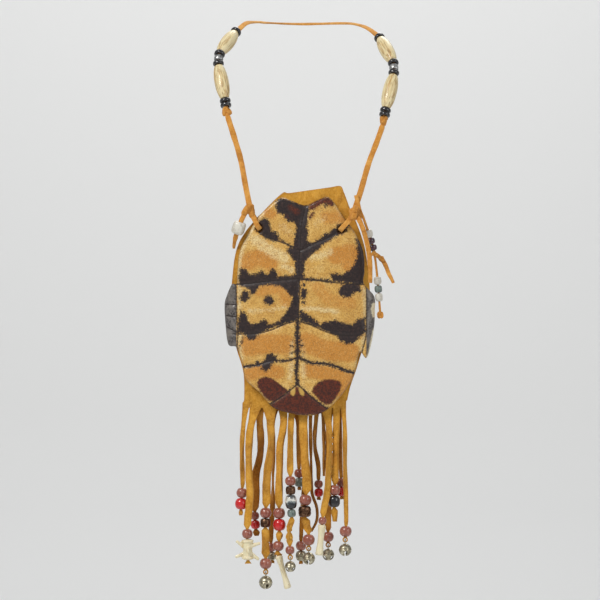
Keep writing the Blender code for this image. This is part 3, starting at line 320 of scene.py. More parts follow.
# %% A helper for node trees
class Nodes:
    """Short names for adding and linking shader nodes."""

    def __init__(self, name):
        self.material = bpy.data.materials.new(name)
        self.material.use_nodes = True
        self.tree = self.material.node_tree
        self.shader = self.tree.nodes["Principled BSDF"]

    def add(self, kind, **settings):
        node = self.tree.nodes.new("ShaderNode" + kind)
        for key, value in settings.items():
            setattr(node, key, value)
        return node

    def link(self, source, target):
        self.tree.links.new(source, target)

    def where(self, scale=(1, 1, 1), attribute=None):
        """Object coordinates in metres, or a piece's own attribute, stretched by scale."""
        if attribute:
            source = self.add("Attribute", attribute_name=attribute).outputs["Vector"]
        else:
            source = self.add("TexCoord").outputs["Object"]
        mapping = self.add("Mapping")
        mapping.inputs["Scale"].default_value = scale
        self.link(source, mapping.inputs["Vector"])
        return mapping.outputs["Vector"]

    def noise(self, where, scale, detail=4.0, rough=0.55, warp=0.0):
        node = self.add("TexNoise")
        self.link(where, node.inputs["Vector"])
        node.inputs["Scale"].default_value = scale
        node.inputs["Detail"].default_value = detail
        node.inputs["Roughness"].default_value = rough
        node.inputs["Distortion"].default_value = warp
        return node.outputs["Fac"]

    def field(self, name):
        return self.add("Attribute", attribute_name=name).outputs["Fac"]

    def ramp(self, fac, stops):
        node = self.add("ValToRGB")
        elements = node.color_ramp.elements
        while len(elements) < len(stops):
            elements.new(0.5)
        for element, (place, colour) in zip(elements, stops):
            element.position = place
            element.color = (*colour, 1.0)
        self.link(fac, node.inputs["Fac"])
        return node.outputs["Color"]

    def math(self, what, a, b):
        node = self.add("Math", operation=what)
        for socket, value in zip(node.inputs, (a, b)):
            if isinstance(value, (int, float)):
                socket.default_value = value
            else:
                self.link(value, socket)
        return node.outputs[0]

    def mix(self, fac, a, b):
        node = self.add("Mix", data_type="RGBA")
        colour_a, colour_b = node.inputs[6], node.inputs[7]
        for socket, value in ((node.inputs["Factor"], fac), (colour_a, a), (colour_b, b)):
            if isinstance(value, (int, float)):
                socket.default_value = value
            elif isinstance(value, tuple):
                socket.default_value = (*value, 1.0)
            else:
                self.link(value, socket)
        return node.outputs[2]

    def spread(self, fac, low, high, to_low=0.0, to_high=1.0):
        node = self.add("MapRange", interpolation_type="SMOOTHSTEP")
        self.link(fac, node.inputs["Value"])
        limits = {"From Min": low, "From Max": high, "To Min": to_low, "To Max": to_high}
        for key, value in limits.items():
            node.inputs[key].default_value = value
        return node.outputs["Result"]

    def bump(self, height, distance, strength):
        node = self.add("Bump")
        node.inputs["Distance"].default_value = distance
        node.inputs["Strength"].default_value = strength
        self.link(height, node.inputs["Height"])
        return node.outputs["Normal"]

    def done(self, colour, rough, normal=None, **fixed):
        """Sets or links the shader's sockets; fixed ones are named with _ for a space."""
        for socket, value in (("Base Color", colour), ("Roughness", rough), ("Normal", normal)):
            if value is None:
                continue
            if isinstance(value, tuple):
                self.shader.inputs[socket].default_value = (*value, 1.0)
            elif isinstance(value, (int, float)):
                self.shader.inputs[socket].default_value = value
            else:
                self.link(value, self.shader.inputs[socket])
        for key, value in fixed.items():
            self.shader.inputs[key.replace("_", " ")].default_value = value
        return self.material


# %% [markdown]
# ### Suede
# Suede is the flesh side of a hide: matt, with a short nap that lies in patches of light and dark
# and fuzzier cut edges, where its colour is darkened. Three sizes of noise give the patches, the
# nap and the fibres, and a soft sheen lifts the colour where the surface turns away.

# %% Suede, for the pouch, its fringe and the laces
def suede(name, deep, mid, pale, sheen_tint):
    n = Nodes(name)
    place = n.where()
    patches = n.noise(place, 90, 3, 0.6, 0.6)
    nap = n.noise(place, 700, 5, 0.7)
    fibres = n.noise(n.where((1, 1, 0.22)), 2600, 3, 0.7)
    colour = n.ramp(patches, [(0.28, deep), (0.52, mid), (0.78, pale)])
    colour = n.mix(n.spread(nap, 0.35, 0.7, 0.0, 0.55), colour, pale)
    colour = n.mix(n.spread(fibres, 0.3, 0.52, 0.5, 0.0), colour, deep)
    # The colour is darkened along the cut edges.
    edge = n.field("edge")
    colour = n.mix(n.math("MULTIPLY", edge, 0.45), colour, deep)
    height = n.math("ADD", n.math("MULTIPLY", nap, 0.6), n.math("MULTIPLY", fibres, 0.5))
    normal = n.bump(height, 0.00035, 0.9)
    return n.done(colour, 0.93, normal, Sheen_Weight=0.35, Sheen_Roughness=0.5,
                  Sheen_Tint=(*sheen_tint, 1.0), Specular_IOR_Level=0.2)


pouch_suede = suede("pouch_suede", (0.34, 0.135, 0.014), (0.62, 0.29, 0.032), (0.80, 0.44, 0.080),
                    (1.0, 0.78, 0.42))
# The back panel and its strips are the front's suede in darker colours: painted shade, for hanging
# behind the front ones.
back_suede_painted_shade = suede("back_fringe_suede_painted_shade", (0.22, 0.080, 0.010), (0.42, 0.175, 0.022),
                   (0.58, 0.28, 0.048), (1.0, 0.74, 0.4))
lace_suede = suede("lace_suede", (0.36, 0.125, 0.018), (0.60, 0.245, 0.040), (0.80, 0.43, 0.11),
                   (1.0, 0.7, 0.36))


# %% [markdown]
# ### Bone, glass, wood and metal
# The old bone is ivory with brown streaks that run along its grain, so its material reads the
# piece's own frame. The wooden beads are waxed and a little pink, the glass ones have a clean
# gloss, and the bells and silver beads are tarnished in their hollows.

# %% Bone
def bone(name, streak, pale=(0.80, 0.66, 0.36), tan=(0.62, 0.40, 0.14), brown=(0.16, 0.07, 0.025)):
    n = Nodes(name)
    along = n.where((1, 1, 0.07), "local")
    grain = n.noise(along, 1500, 4, 0.65, 0.4)
    wide = n.noise(n.where((1, 1, 0.12), "local"), 330, 3, 0.6, 0.8)
    ivory = (0.86, 0.76, 0.50)
    colour = n.ramp(wide, [(0.30, tan), (0.47, pale), (0.75, ivory)])
    marks = n.spread(grain, 0.60 - 0.10 * streak, 0.70, 0.0, 0.85)
    marks = n.math("MULTIPLY", marks, n.spread(wide, 0.62, 0.36, 0.15, 1.0))
    colour = n.mix(marks, colour, brown)
    normal = n.bump(grain, 0.00018, 0.6)
    return n.done(colour, n.spread(grain, 0.3, 0.7, 0.28, 0.5), normal, Coat_Weight=0.2,
                  Subsurface_Weight=0.06, Subsurface_Radius=(0.003, 0.002, 0.001))


pipe_bone = bone("pipe_bone", 1.5, tan=(0.50, 0.29, 0.09))
small_bone = bone("small_bone", 0.35, (0.84, 0.76, 0.52), (0.66, 0.50, 0.24), (0.22, 0.12, 0.05))


# %% Glass, wood and metal
def glossy(name, colour, dark, rough=0.16, coat=0.5):
    n = Nodes(name)
    cloud = n.noise(n.where(), 420, 3, 0.6)
    mixed = n.mix(n.spread(cloud, 0.35, 0.7), colour, dark)
    wear = n.noise(n.where(), 1500, 4, 0.7)
    normal = n.bump(cloud, 0.0002, 0.35)
    return n.done(mixed, n.spread(wear, 0.4, 0.75, rough, rough + 0.22), normal,
                  Coat_Weight=coat)


def waxed_wood(name):
    n = Nodes(name)
    grain = n.noise(n.where((1, 1, 0.18), "local"), 900, 4, 0.6, 1.2)
    cloud = n.noise(n.where(), 260, 2, 0.5)
    colour = n.ramp(grain, [(0.30, (0.135, 0.030, 0.018)), (0.50, (0.29, 0.075, 0.044)),
                            (0.72, (0.42, 0.145, 0.095))])
    colour = n.mix(n.spread(cloud, 0.45, 0.75, 0.0, 0.35), colour, (0.50, 0.22, 0.16))
    normal = n.bump(grain, 0.00015, 0.5)
    return n.done(colour, n.spread(grain, 0.3, 0.7, 0.26, 0.42), normal, Coat_Weight=0.8,
                  Coat_Roughness=0.12)


def old_metal(name, bright, dull, dark, rough=0.28):
    n = Nodes(name)
    tarnish = n.noise(n.where(), 520, 5, 0.65, 0.5)
    fine = n.noise(n.where(), 2600, 3, 0.7)
    colour = n.ramp(tarnish, [(0.34, dark), (0.50, dull), (0.66, bright)])
    rough_field = n.spread(tarnish, 0.35, 0.65, rough + 0.25, rough)
    return n.done(colour, rough_field, n.bump(fine, 0.0001, 0.5), Metallic=0.95)


BAND_REACH = 0.0046       # the bands run from this far below the bead's middle to as far above it


def banded(name):
    """Dark glass below and white above, with an uneven line between."""
    n = Nodes(name)
    height = n.add("SeparateXYZ")
    n.link(n.where(attribute="local"), height.inputs["Vector"])
    cloud = n.noise(n.where(attribute="local"), 420, 4, 0.65, 0.8)
    drift = n.math("MULTIPLY", n.math("SUBTRACT", cloud, 0.5), 0.0075)
    level = n.spread(n.math("ADD", height.outputs["Z"], drift), -BAND_REACH, BAND_REACH)
    colour = n.ramp(level, [
        (0.10, (0.012, 0.014, 0.018)), (0.34, (0.035, 0.040, 0.045)), (0.50, (0.26, 0.30, 0.30)),
        (0.66, (0.80, 0.79, 0.72)), (0.84, (0.74, 0.73, 0.66)), (0.97, (0.08, 0.085, 0.09))])
    return n.done(colour, 0.18, n.bump(cloud, 0.0002, 0.3), Coat_Weight=0.7)


red_glass = glossy("red_glass", (0.66, 0.012, 0.012), (0.42, 0.004, 0.006), 0.14, 0.8)
black_glass = glossy("black_glass", (0.010, 0.010, 0.012), (0.022, 0.020, 0.022), 0.12, 0.6)
grey_glass = glossy("grey_glass", (0.20, 0.25, 0.22), (0.09, 0.12, 0.11), 0.25, 0.5)
white_glass = glossy("white_glass", (0.74, 0.71, 0.62), (0.52, 0.48, 0.40), 0.35, 0.25)
plum_glass = glossy("plum_glass", (0.085, 0.022, 0.040), (0.025, 0.010, 0.016), 0.2, 0.6)
rose_wood = waxed_wood("rose_wood")
silver_metal = old_metal("silver_metal", (0.72, 0.72, 0.70), (0.42, 0.42, 0.41), (0.10, 0.10, 0.10))
bell_metal = old_metal("bell_metal", (0.66, 0.62, 0.47), (0.38, 0.34, 0.24), (0.09, 0.075, 0.05))
bronze_metal = old_metal("bronze_metal", (0.30, 0.17, 0.10), (0.12, 0.062, 0.036),
                         (0.03, 0.016, 0.012), 0.3)
striped_glass = banded("striped_glass")
print(len(bpy.data.materials), "materials so far")

# %% [markdown]
# ## The stage, the light and the camera
# The bag hangs clear of everything, so a long lens looks straight at it along +Y, far enough away
# that the strap's far loop isn't much smaller than the near fringe. A pale sweep stands behind it,
# far enough off for a camera to walk round the bag, and bends into a pale floor below. Three lamps
# light the bag, and a fourth lights the sweep alone.

# %% Camera
LENS_DISTANCE = 2.2
VIEW_WIDTH = 0.42         # metres seen across, at the bag
FRONT_Y = -0.128          # how far forward the bag's face lies
SENSOR = 36               # the camera's own sensor, in millimetres
camera_data = bpy.data.cameras.new("camera")
camera_data.sensor_width = SENSOR
camera_data.lens = SENSOR * LENS_DISTANCE / VIEW_WIDTH
camera = add_object("camera", camera_data)
camera.location = (0.0, FRONT_Y - LENS_DISTANCE, from_layout(LAYOUT_MIDDLE, LAYOUT_MIDDLE)[1])
camera.rotation_euler = (math.radians(90), 0, 0)
bpy.context.scene.camera = camera
bpy.context.scene.view_settings.view_transform = "Standard"
print("camera", [round(v, 3) for v in camera.location])


# %% Backdrop, floor, lamps
FLOOR_Z = -1.0
FLOOR_FRONT_Y = -3.4
WALL_Y = 3.0
WALL_TOP_Z = 3.2
SWEEP_SIDE_X = 4.0
BEND = 0.6                # radius of the bend between floor and wall
PALE_GREY = (0.86, 0.86, 0.85)


def sweep():
    """Floor and backdrop in one bent sheet."""
    bm = bmesh.new()
    bend = [math.radians(15 * k) for k in range(1, 7)]
    side = [(FLOOR_FRONT_Y, FLOOR_Z), (WALL_Y - BEND, FLOOR_Z)]
    side += [(WALL_Y - BEND + BEND * math.sin(a), FLOOR_Z + BEND - BEND * math.cos(a))
             for a in bend]
    side.append((WALL_Y, WALL_TOP_Z))
    line = [bm.verts.new((-SWEEP_SIDE_X, y, z)) for y, z in side]
    edges = [bm.edges.new(pair) for pair in zip(line, line[1:])]
    moved = bmesh.ops.extrude_edge_only(bm, edges=edges)["geom"]
    bmesh.ops.translate(bm, vec=(2 * SWEEP_SIDE_X, 0, 0),
                        verts=[v for v in moved if isinstance(v, bmesh.types.BMVert)])
    bmesh.ops.recalc_face_normals(bm, faces=bm.faces)
    data = to_mesh("sweep", bm)
    data.shade_smooth()
    data.materials.append(Nodes("pale_sweep").done(PALE_GREY, 0.9))
    add_object("sweep", data)


def lamp(name, place, size, power, colour=(1, 1, 1), at=(0, -0.12, -0.2)):
    """A soft square lamp at the place, aimed at a point that is by default the bag's middle."""
    data = bpy.data.lights.new(name, "AREA")
    data.size = size
    data.energy = power
    data.color = colour
    light = add_object(name, data)
    light.location = place
    aim = Vector(at) - Vector(place)
    light.rotation_euler = aim.to_track_quat("-Z", "Y").to_euler()


sweep()
lamp("key", (-1.0, -1.4, 1.05), 0.6, 25, (1.0, 0.985, 0.96))
lamp("fill", (1.3, -1.2, 0.25), 0.8, 6)
lamp("rim", (0.3, 0.9, 1.1), 0.8, 9)
lamp("wall", (0.0, 1.5, 1.7), 1.2, 22, at=(0, 3.0, -0.2))
world = bpy.data.worlds.new("world")
world.use_nodes = True
world.node_tree.nodes["Background"].inputs["Color"].default_value = (0.95, 0.97, 1.0, 1.0)
world.node_tree.nodes["Background"].inputs["Strength"].default_value = 0.38
bpy.context.scene.world = world
print("stage and light")

# %% [markdown]
# ## The neck lace
# The strap is one flat suede lace, which turns a little about itself as it hangs. It is a
# section swept along the route: a small ring of edges is extruded again and again, and each new
# ring is turned and placed. The frame that carries the ring is handed on from point to point, which
# keeps it from spinning where the lace bends.

# %% Sweeping a lace
LACE_SIDES = 12
LACE_SQUARE = 0.6         # 1 would make the lace's section oval, 0 a sharp rectangle
TAPER_STARTS = 0.7        # the share of its length from which a lace narrows


def lace_ring(width, thick):
    """A rounded rectangle as (across, out) pairs."""
    ring = []
    for k in range(LACE_SIDES):
        a = 2 * math.pi * (k + 0.5) / LACE_SIDES
        c, s = math.cos(a), math.sin(a)
        ring.append((width / 2 * math.copysign(abs(c) ** LACE_SQUARE, c),
                     thick / 2 * math.copysign(abs(s) ** LACE_SQUARE, s)))
    return ring


def next_ring(bm, ring, edges):
    """Extrudes a ring once, and gives the new ring with its points in the old one's order."""
    moved = bmesh.ops.extrude_edge_only(bm, edges=edges)["geom"]
    follows = {}
    for vert in moved:
        if isinstance(vert, bmesh.types.BMVert):
            for edge in vert.link_edges:
                if edge.other_vert(vert) in ring:
                    follows[edge.other_vert(vert)] = vert
    ring = [follows[v] for v in ring]
    return ring, [bm.edges.get((ring[k - 1], ring[k])) for k in range(LACE_SIDES)]


def sweep_lace(route, width, thick, twist=0.0, seed=0, taper=0.0, start_twist=0.0, wobble=0.10,
               shape=None):
    """A closed lace along the route.

    twist is its turn in radians along the whole length, taper the share of its width that it
    loses over its last part, and shape gives (width, thick) for each share of the length.
    """
    bm = bmesh.new()
    ring = [bm.verts.new((0, 0, 0)) for _ in range(LACE_SIDES)]
    edges = [bm.edges.new((ring[k - 1], ring[k])) for k in range(LACE_SIDES)]
    first_ring = ring
    up = Vector((0, -1, 0))
    count = len(route)
    for i, place in enumerate(route):
        ahead = (route[min(i + 1, count - 1)] - route[max(i - 1, 0)]).normalized()
        up = (up - ahead * up.dot(ahead)).normalized()
        side = ahead.cross(up).normalized()
        if i:
            ring, edges = next_ring(bm, ring, edges)
        share = i / (count - 1)
        wave = 1 + wobble * noise.noise(Vector((i * 0.35, seed * 7.1, 0.3)))
        end = 1 - taper * max(0.0, (share - TAPER_STARTS) / 0.3)
        sway = 0.25 * noise.noise(Vector((i * 0.12, seed * 3.7, 4.0)))
        angle = start_twist + twist * share + sway
        if shape:
            width, thick = shape(share)
        for vert, (u, v) in zip(ring, lace_ring(width * wave * end, thick * end)):
            across = u * math.cos(angle) - v * math.sin(angle)
            out = u * math.sin(angle) + v * math.cos(angle)
            vert.co = place + side * across + up * out
    bm.faces.new(first_ring)
    bm.faces.new(ring[::-1])
    bmesh.ops.recalc_face_normals(bm, faces=bm.faces)
    return bm


# %% [markdown]
# The route runs from the left knot, up that side, behind the neck and down to the right knot. The
# lace's two ends go back into the bag.

# %% The strap's route
STRAP_LEFT = [
    (0.0, 0.0, 0.0), (-0.0120, -0.0045, -0.0001), (-0.0235, -0.0170, -0.0006),
    (-0.0335, -0.0390, -0.0020), (-0.0395, -0.0590, -0.0050), (-0.0446, -0.0719, -0.0107),
    (-0.0462, -0.0745, -0.0124), (-0.0514, -0.0840, -0.0202), (-0.0564, -0.0930, -0.0277),
    (-0.0573, -0.0953, -0.0302), (-0.0579, -0.0983, -0.0345), (-0.0578, -0.0999, -0.0377),
    (-0.0554, -0.1045, -0.0500), (-0.0531, -0.1088, -0.0618), (-0.0526, -0.1100, -0.0650),
    (-0.0512, -0.1130, -0.0738), (-0.0475, -0.1168, -0.0860), (-0.0416, -0.1228, -0.1060),
    (-0.0380, -0.1285, -0.1250), (-0.0352, -0.1330, -0.1388),
]
STRAP_RIGHT = [
    (0.0145, -0.0045, -0.0002), (0.0285, -0.0175, -0.0010), (0.0405, -0.0380, -0.0035),
    (0.0490, -0.0555, -0.0080), (0.0558, -0.0696, -0.0147), (0.0572, -0.0723, -0.0165),
    (0.0616, -0.0814, -0.0253), (0.0658, -0.0900, -0.0337), (0.0665, -0.0921, -0.0364),
    (0.0668, -0.0949, -0.0408), (0.0665, -0.0964, -0.0440), (0.0636, -0.1006, -0.0564),
    (0.0609, -0.1046, -0.0681), (0.0602, -0.1057, -0.0714), (0.0585, -0.1085, -0.0802),
    (0.0545, -0.1128, -0.0920), (0.0484, -0.1190, -0.1080), (0.0424, -0.1265, -0.1285),
    (0.0382, -0.1330, -0.1412),
]
STOPS = {"left": (-0.0512, -0.1130, -0.0738), "right": (0.0585, -0.1085, -0.0802)}
STRAP_STACK = 0.0789      # from a stop knot's foot to the last disc's top
FREE = (0.0040, 0.0013)   # the lace's width and thickness where it hangs free
SQUEEZED = (0.0024, 0.0019)
SQUEEZE_EASE = 0.0020     # over this length it is squeezed from one to the other

strap = smooth_route(STRAP_LEFT[::-1] + STRAP_RIGHT)
strap_points = evenly(strap, 0.0022)
strap_length = length_of(strap)


def stop_along(side):
    """How far along the strap a side's stop knot sits."""
    nearest = min(range(len(strap)), key=lambda i: (strap[i] - Vector(STOPS[side])).length)
    return length_of(strap[:nearest + 1])


strung_spans = [(stop_along("left"), stop_along("left") + STRAP_STACK),
                (stop_along("right") - STRAP_STACK, stop_along("right"))]


def strap_shape(share):
    """Flat and wide where the lace hangs free, squeezed where it passes through strung pieces."""
    along = share * strap_length
    squeezed = 0.0
    for start, finish in strung_spans:
        inwards = min(along - start, finish - along)
        squeezed = max(squeezed, min(1.0, max(0.0, inwards / SQUEEZE_EASE + 1)))
    return tuple(free + (tight - free) * squeezed for free, tight in zip(FREE, SQUEEZED))


neck_lace = finish_piece("neck_lace", sweep_lace(strap_points, *FREE, seed=1, shape=strap_shape),
                         lace_suede, replaces=("neck_thong",))
print("strap", round(strap_length, 4), "m")

# %% The loose laces' routes
RIGHT_EDGE_LACE = [
    (0.0398, -0.1358, -0.1462), (0.0420, -0.1388, -0.1502), (0.0442, -0.1403, -0.1560),
    (0.0464, -0.1396, -0.1640), (0.0480, -0.1388, -0.1720), (0.0488, -0.1385, -0.1800),
    (0.0490, -0.1385, -0.1870), (0.0489, -0.1388, -0.1925),
]
RIGHT_SIDE_LACE = [
    (0.0436, -0.1328, -0.1452), (0.0450, -0.1322, -0.1490), (0.0466, -0.1310, -0.1535),
    (0.0485, -0.1290, -0.1600), (0.0508, -0.1275, -0.1670), (0.0524, -0.1268, -0.1740),
    (0.0536, -0.1262, -0.1830), (0.0544, -0.1255, -0.1910), (0.0550, -0.1250, -0.1980),
    (0.0556, -0.1248, -0.2050), (0.0560, -0.1248, -0.2110), (0.0563, -0.1250, -0.2150),
]
SIDE_LACE = 0.0018
edge_route = evenly(smooth_route(RIGHT_EDGE_LACE), 0.0010)
side_route = evenly(smooth_route(RIGHT_SIDE_LACE), 0.0012)
edge_lace = finish_piece("right_edge_lace",
                         sweep_lace(edge_route, 0.0034, 0.0013, twist=0.2, seed=2, taper=0.15),
                         lace_suede, replaces=("right_edge_thong",))
side_lace = finish_piece("right_side_lace",
                         sweep_lace(side_route, SIDE_LACE, 0.0014, twist=2.0, seed=3),
                         lace_suede, replaces=("right_side_thong",))
print("loose laces", round(length_of(edge_route), 4), round(length_of(side_route), 4))

# %% [markdown]
# ## Turned beads
# A bead is a half section spun round its bore. Real beads have a rounded shoulder, a small flat
# where they were ground, and a hole with a softened lip, so the section is an arc with a short flat
# and a bore. The arc's power sets how square the bead looks.

# %% Bead sections
DISC_BORE = 0.0034
SIDE_BORE = 0.0026


def bead_section(diameter, length, bore, square, steps=12, lip=0.12):
    """(radius, height) from the top face, round the outside and back up the bore.

    square is 2 for a round side and more for a squarer one; lip is the flat's share of the radius.
    """
    r, h, b = diameter / 2, length / 2, bore / 2
    face = b + lip * r
    ring = []
    for i in range(steps + 1):
        a = math.radians(90 - 180 * i / steps)
        c, s = abs(math.cos(a)), math.sin(a)
        out = face + (r - face) * c ** (2 / square)
        ring.append((out, h * math.copysign(abs(s) ** (2 / square), s)))
    ring += [(b + 0.00012, -h + 0.00002), (b, -h + 0.00025), (b, h - 0.00025),
             (b + 0.00012, h - 0.00002)]
    return ring


# %% [markdown]
# ## What is strung on the neck lace
# From each stop knot upwards: two black discs, a bone pipe, a disc, a silver bead, a disc, a second
# bone pipe and a last disc. Each lies along the strap's route, so its axis is read off that route.

# %% Pipes, discs and silver beads
PIPE_LENGTH = 0.0254
PIPE_MAX = 0.0102
PIPE_END = 0.0058
PIPE_BORE = 0.0038
PIPE_STEPS = 28
DISC_ACROSS = 0.0078
DISC_THICK = 0.0028
SILVER_ACROSS = 0.0066
SILVER_LENGTH = 0.0046
STOP_KNOT = 0.0033        # the stop knots' radius
STRUNG = 0.0006           # the gap between two strung pieces
ON_STRAP = {"stop_knot": 0.0052, "disc": DISC_THICK, "silver_bead": SILVER_LENGTH,
            "hairpipe": PIPE_LENGTH}
ORDER = ["stop_knot", "disc", "disc", "hairpipe", "disc", "silver_bead", "disc", "hairpipe", "disc"]


def pipe_section():
    """A bone pipe: fullest in the middle, drawn in to a small worn face at both ends."""
    half, bore = PIPE_LENGTH / 2, PIPE_BORE / 2
    ring = []
    for i in range(PIPE_STEPS + 1):
        t = 1 - 2 * i / PIPE_STEPS
        full = (1 - abs(t) ** 2.3) ** 0.9
        ring.append((PIPE_END / 2 + (PIPE_MAX - PIPE_END) / 2 * full, half * t))
    return ring + [(bore + 0.0002, -half), (bore, -half + 0.0004), (bore, half - 0.0004),
                   (bore + 0.0002, half)]


def disc_section():
    """A thin disc with a rounded rim."""
    r, h, b = DISC_ACROSS / 2, DISC_THICK / 2, DISC_BORE / 2
    ring = [(b + 0.0006, h), (r - 0.0009, h), (r - 0.0003, 0.82 * h), (r - 0.00005, 0.45 * h),
            (r, 0.0), (r - 0.00005, -0.45 * h), (r - 0.0003, -0.82 * h), (r - 0.0009, -h),
            (b + 0.0006, -h)]
    return ring + [(b, -h + 0.0002), (b, h - 0.0002)]


def strung_turned(name, node, material, section, steps, place, axis, roll, body="bag",
                  jitter=0.0):
    """One turned piece on the strap, in the place of its solid."""
    bm = turn(section, steps)
    if jitter:
        roughen(bm, jitter, (len(name), roll, 0))
    return finish_piece(name, put(keep_local(bm), place, axis, roll), material, body, (node,))


KNOT_STEPS = 32


def knot_on_lace(place, axis, radius, seed):
    """An overhand knot pulled tight: the lace crosses itself twice round its own line."""
    loop = []
    for k in range(KNOT_STEPS + 1):
        a = 2 * math.pi * k / KNOT_STEPS
        lift = 0.55 * radius * math.sin(2 * a)
        out = radius * (0.50 + 0.16 * math.cos(2 * a + 0.6))
        loop.append(Vector((out * math.cos(a), out * math.sin(a), lift * 1.25)))
    second = [Vector((p.x * 0.9, -p.y * 0.9, -p.z * 0.8 + radius * 0.12)) for p in loop]
    bm = sweep_lace(loop, radius * 0.86, radius * 0.62, math.pi, seed, start_twist=0.6)
    merge(bm, sweep_lace(second, radius * 0.80, radius * 0.60, math.pi, seed + 5, start_twist=1.2))
    core = bmesh.ops.create_icosphere(bm, subdivisions=3, radius=radius * 0.62)
    bmesh.ops.scale(bm, vec=(1, 1, 0.95), verts=core["verts"])
    return put(bm, place, axis, seed * 1.7)


strap_pieces = []
for side in ("left", "right"):
    along = stop_along(side) if side == "left" else strap_length - stop_along(side)
    counts = {}
    for kind in ORDER:
        length = ON_STRAP[kind]
        counts[kind] = counts.get(kind, 0) + 1
        node = f"{side}_{kind}"
        if kind in ("disc", "hairpipe"):
            node += f"_{counts[kind]}"
        spots = [s if side == "left" else strap_length - s for s in (along, along + length)]
        a, b = (point_at(strap, s) for s in spots)
        axis, place = (b - a).normalized(), (a + b) / 2
        number = len(strap_pieces)
        if kind == "hairpipe":
            piece = strung_turned(node + "_bone", node, pipe_bone, pipe_section(), 48, place, axis,
                                  number * 0.9, body=node, jitter=0.012)
        elif kind == "disc":
            piece = strung_turned(node + "_black", node, black_glass, disc_section(), 36, place,
                                  axis, number)
        elif kind == "silver_bead":
            section = bead_section(SILVER_ACROSS, SILVER_LENGTH, DISC_BORE, 2.6)
            piece = strung_turned(node + "_metal", node, silver_metal, section, 36, place, axis,
                                  0.0)
        else:
            knot = keep_local(knot_on_lace(place, axis, STOP_KNOT, number))
            piece = finish_piece(node + "_tied", knot, lace_suede, replaces=(node,))
        strap_pieces.append(piece)
        along += length + STRUNG
print(len(strap_pieces), "pieces on the strap")

# %% [markdown]
# ## Cut sheets
# The pouch's panels and the shell plate are both thin things with a drawn outline, holes and a
# bend. Each is made flat first: the outline and its holes are triangulated with evenly spread
# points inside, as a pattern is cut from a hide. A rule then carries every point to its place in
# space, and a copy, joined to it along every edge, gives the sheet its back.

# %% Filling an outline with even triangles
ROW_STEP = 0.87           # rows of equal triangles lie about this share of a side apart


def inside_many(places, ring):
    """Which of the places (an n by 2 array) lie inside a closed ring."""
    found = np.zeros(len(places), dtype=bool)
    x, z = places[:, 0], places[:, 1]
    for (x0, z0), (x1, z1) in zip(ring, ring[1:] + ring[:1]):
        if z0 == z1:
            continue
        found ^= ((z0 > z) != (z1 > z)) & (x < (x1 - x0) * (z - z0) / (z1 - z0) + x0)
    return found


def tree_of(places):
    """A search tree over points that lie in space."""
    tree = KDTree(len(places))
    for i, p in enumerate(places):
        tree.insert(p, i)
    tree.balance()
    return tree


def even_points(ring, spacing):
    """Points inside a ring in staggered rows, so that they make nearly equal triangles."""
    low, high = np.array(ring).min(axis=0), np.array(ring).max(axis=0)
    rows = []
    for row in range(int((high[1] - low[1]) / (spacing * ROW_STEP)) + 1):
        z = low[1] + spacing * (0.4 + ROW_STEP * row)
        for k in range(int((high[0] - low[0]) / spacing) + 1):
            rows.append((low[0] + spacing * (k + 0.5 * (row % 2) + 0.25), z))
    rows = np.array(rows)
    return rows[inside_many(rows, ring)]


def cut_sheet(ring, holes, spacing):
    """Flat triangles inside the ring and outside its holes: a bmesh in the x, z plane."""
    ring = [tuple(p) for p in ring]
    points, edges = [], []
    for chain in (ring, *holes):
        first = len(points)
        points += [Vector(p) for p in chain]
        edges += [(first + i, first + i + 1) for i in range(len(chain) - 1)]
        edges.append((first + len(chain) - 1, first))
    taken = tree_of([(p[0], 0, p[1]) for p in points])
    for x, z in even_points(ring, spacing):
        if taken.find((x, 0, z))[2] > spacing * 0.6:
            points.append(Vector((x, z)))
    outcome = delaunay_2d_cdt(points, edges, [], 0, 1e-7)
    verts, faces = outcome[0], outcome[2]
    flat = np.array([(v.x, v.y) for v in verts])
    corners = np.array(faces)
    middles = flat[corners].mean(axis=1)
    kept = inside_many(middles, ring)
    for hole in holes:
        kept &= ~inside_many(middles, hole)
    bm = bmesh.new()
    made = [bm.verts.new((v.x, 0.0, v.y)) for v in verts]
    for corner, keep in zip(corners, kept):
        if keep:
            bm.faces.new([made[i] for i in corner])
    bmesh.ops.delete(bm, geom=[v for v in bm.verts if not v.link_faces], context="VERTS")
    return bm


def face_front(bm):
    """Turns a flat sheet's faces towards -Y."""
    bmesh.ops.recalc_face_normals(bm, faces=bm.faces)
    bm.normal_update()
    if sum(f.normal.y * f.calc_area() for f in bm.faces) > 0:
        bmesh.ops.reverse_faces(bm, faces=bm.faces)


def round_hole(x, z, diameter, count):
    """A hole's edge as (x, z) points."""
    return [(x + diameter / 2 * math.cos(2 * math.pi * i / count),
             z + diameter / 2 * math.sin(2 * math.pi * i / count)) for i in range(count)]


# %% [markdown]
# ## The shell plate
# A turtle's lower shell is bone covered with horny plates called scutes. The scutes meet in sunken
# seams, carry fine growth lines beside those seams, and are blotched. All of that follows the
# seams, so they are drawn first, and each point of the plate learns how far it is from the nearest
# one. The blotches are soft fields kept on the points; the material breaks up their edges.

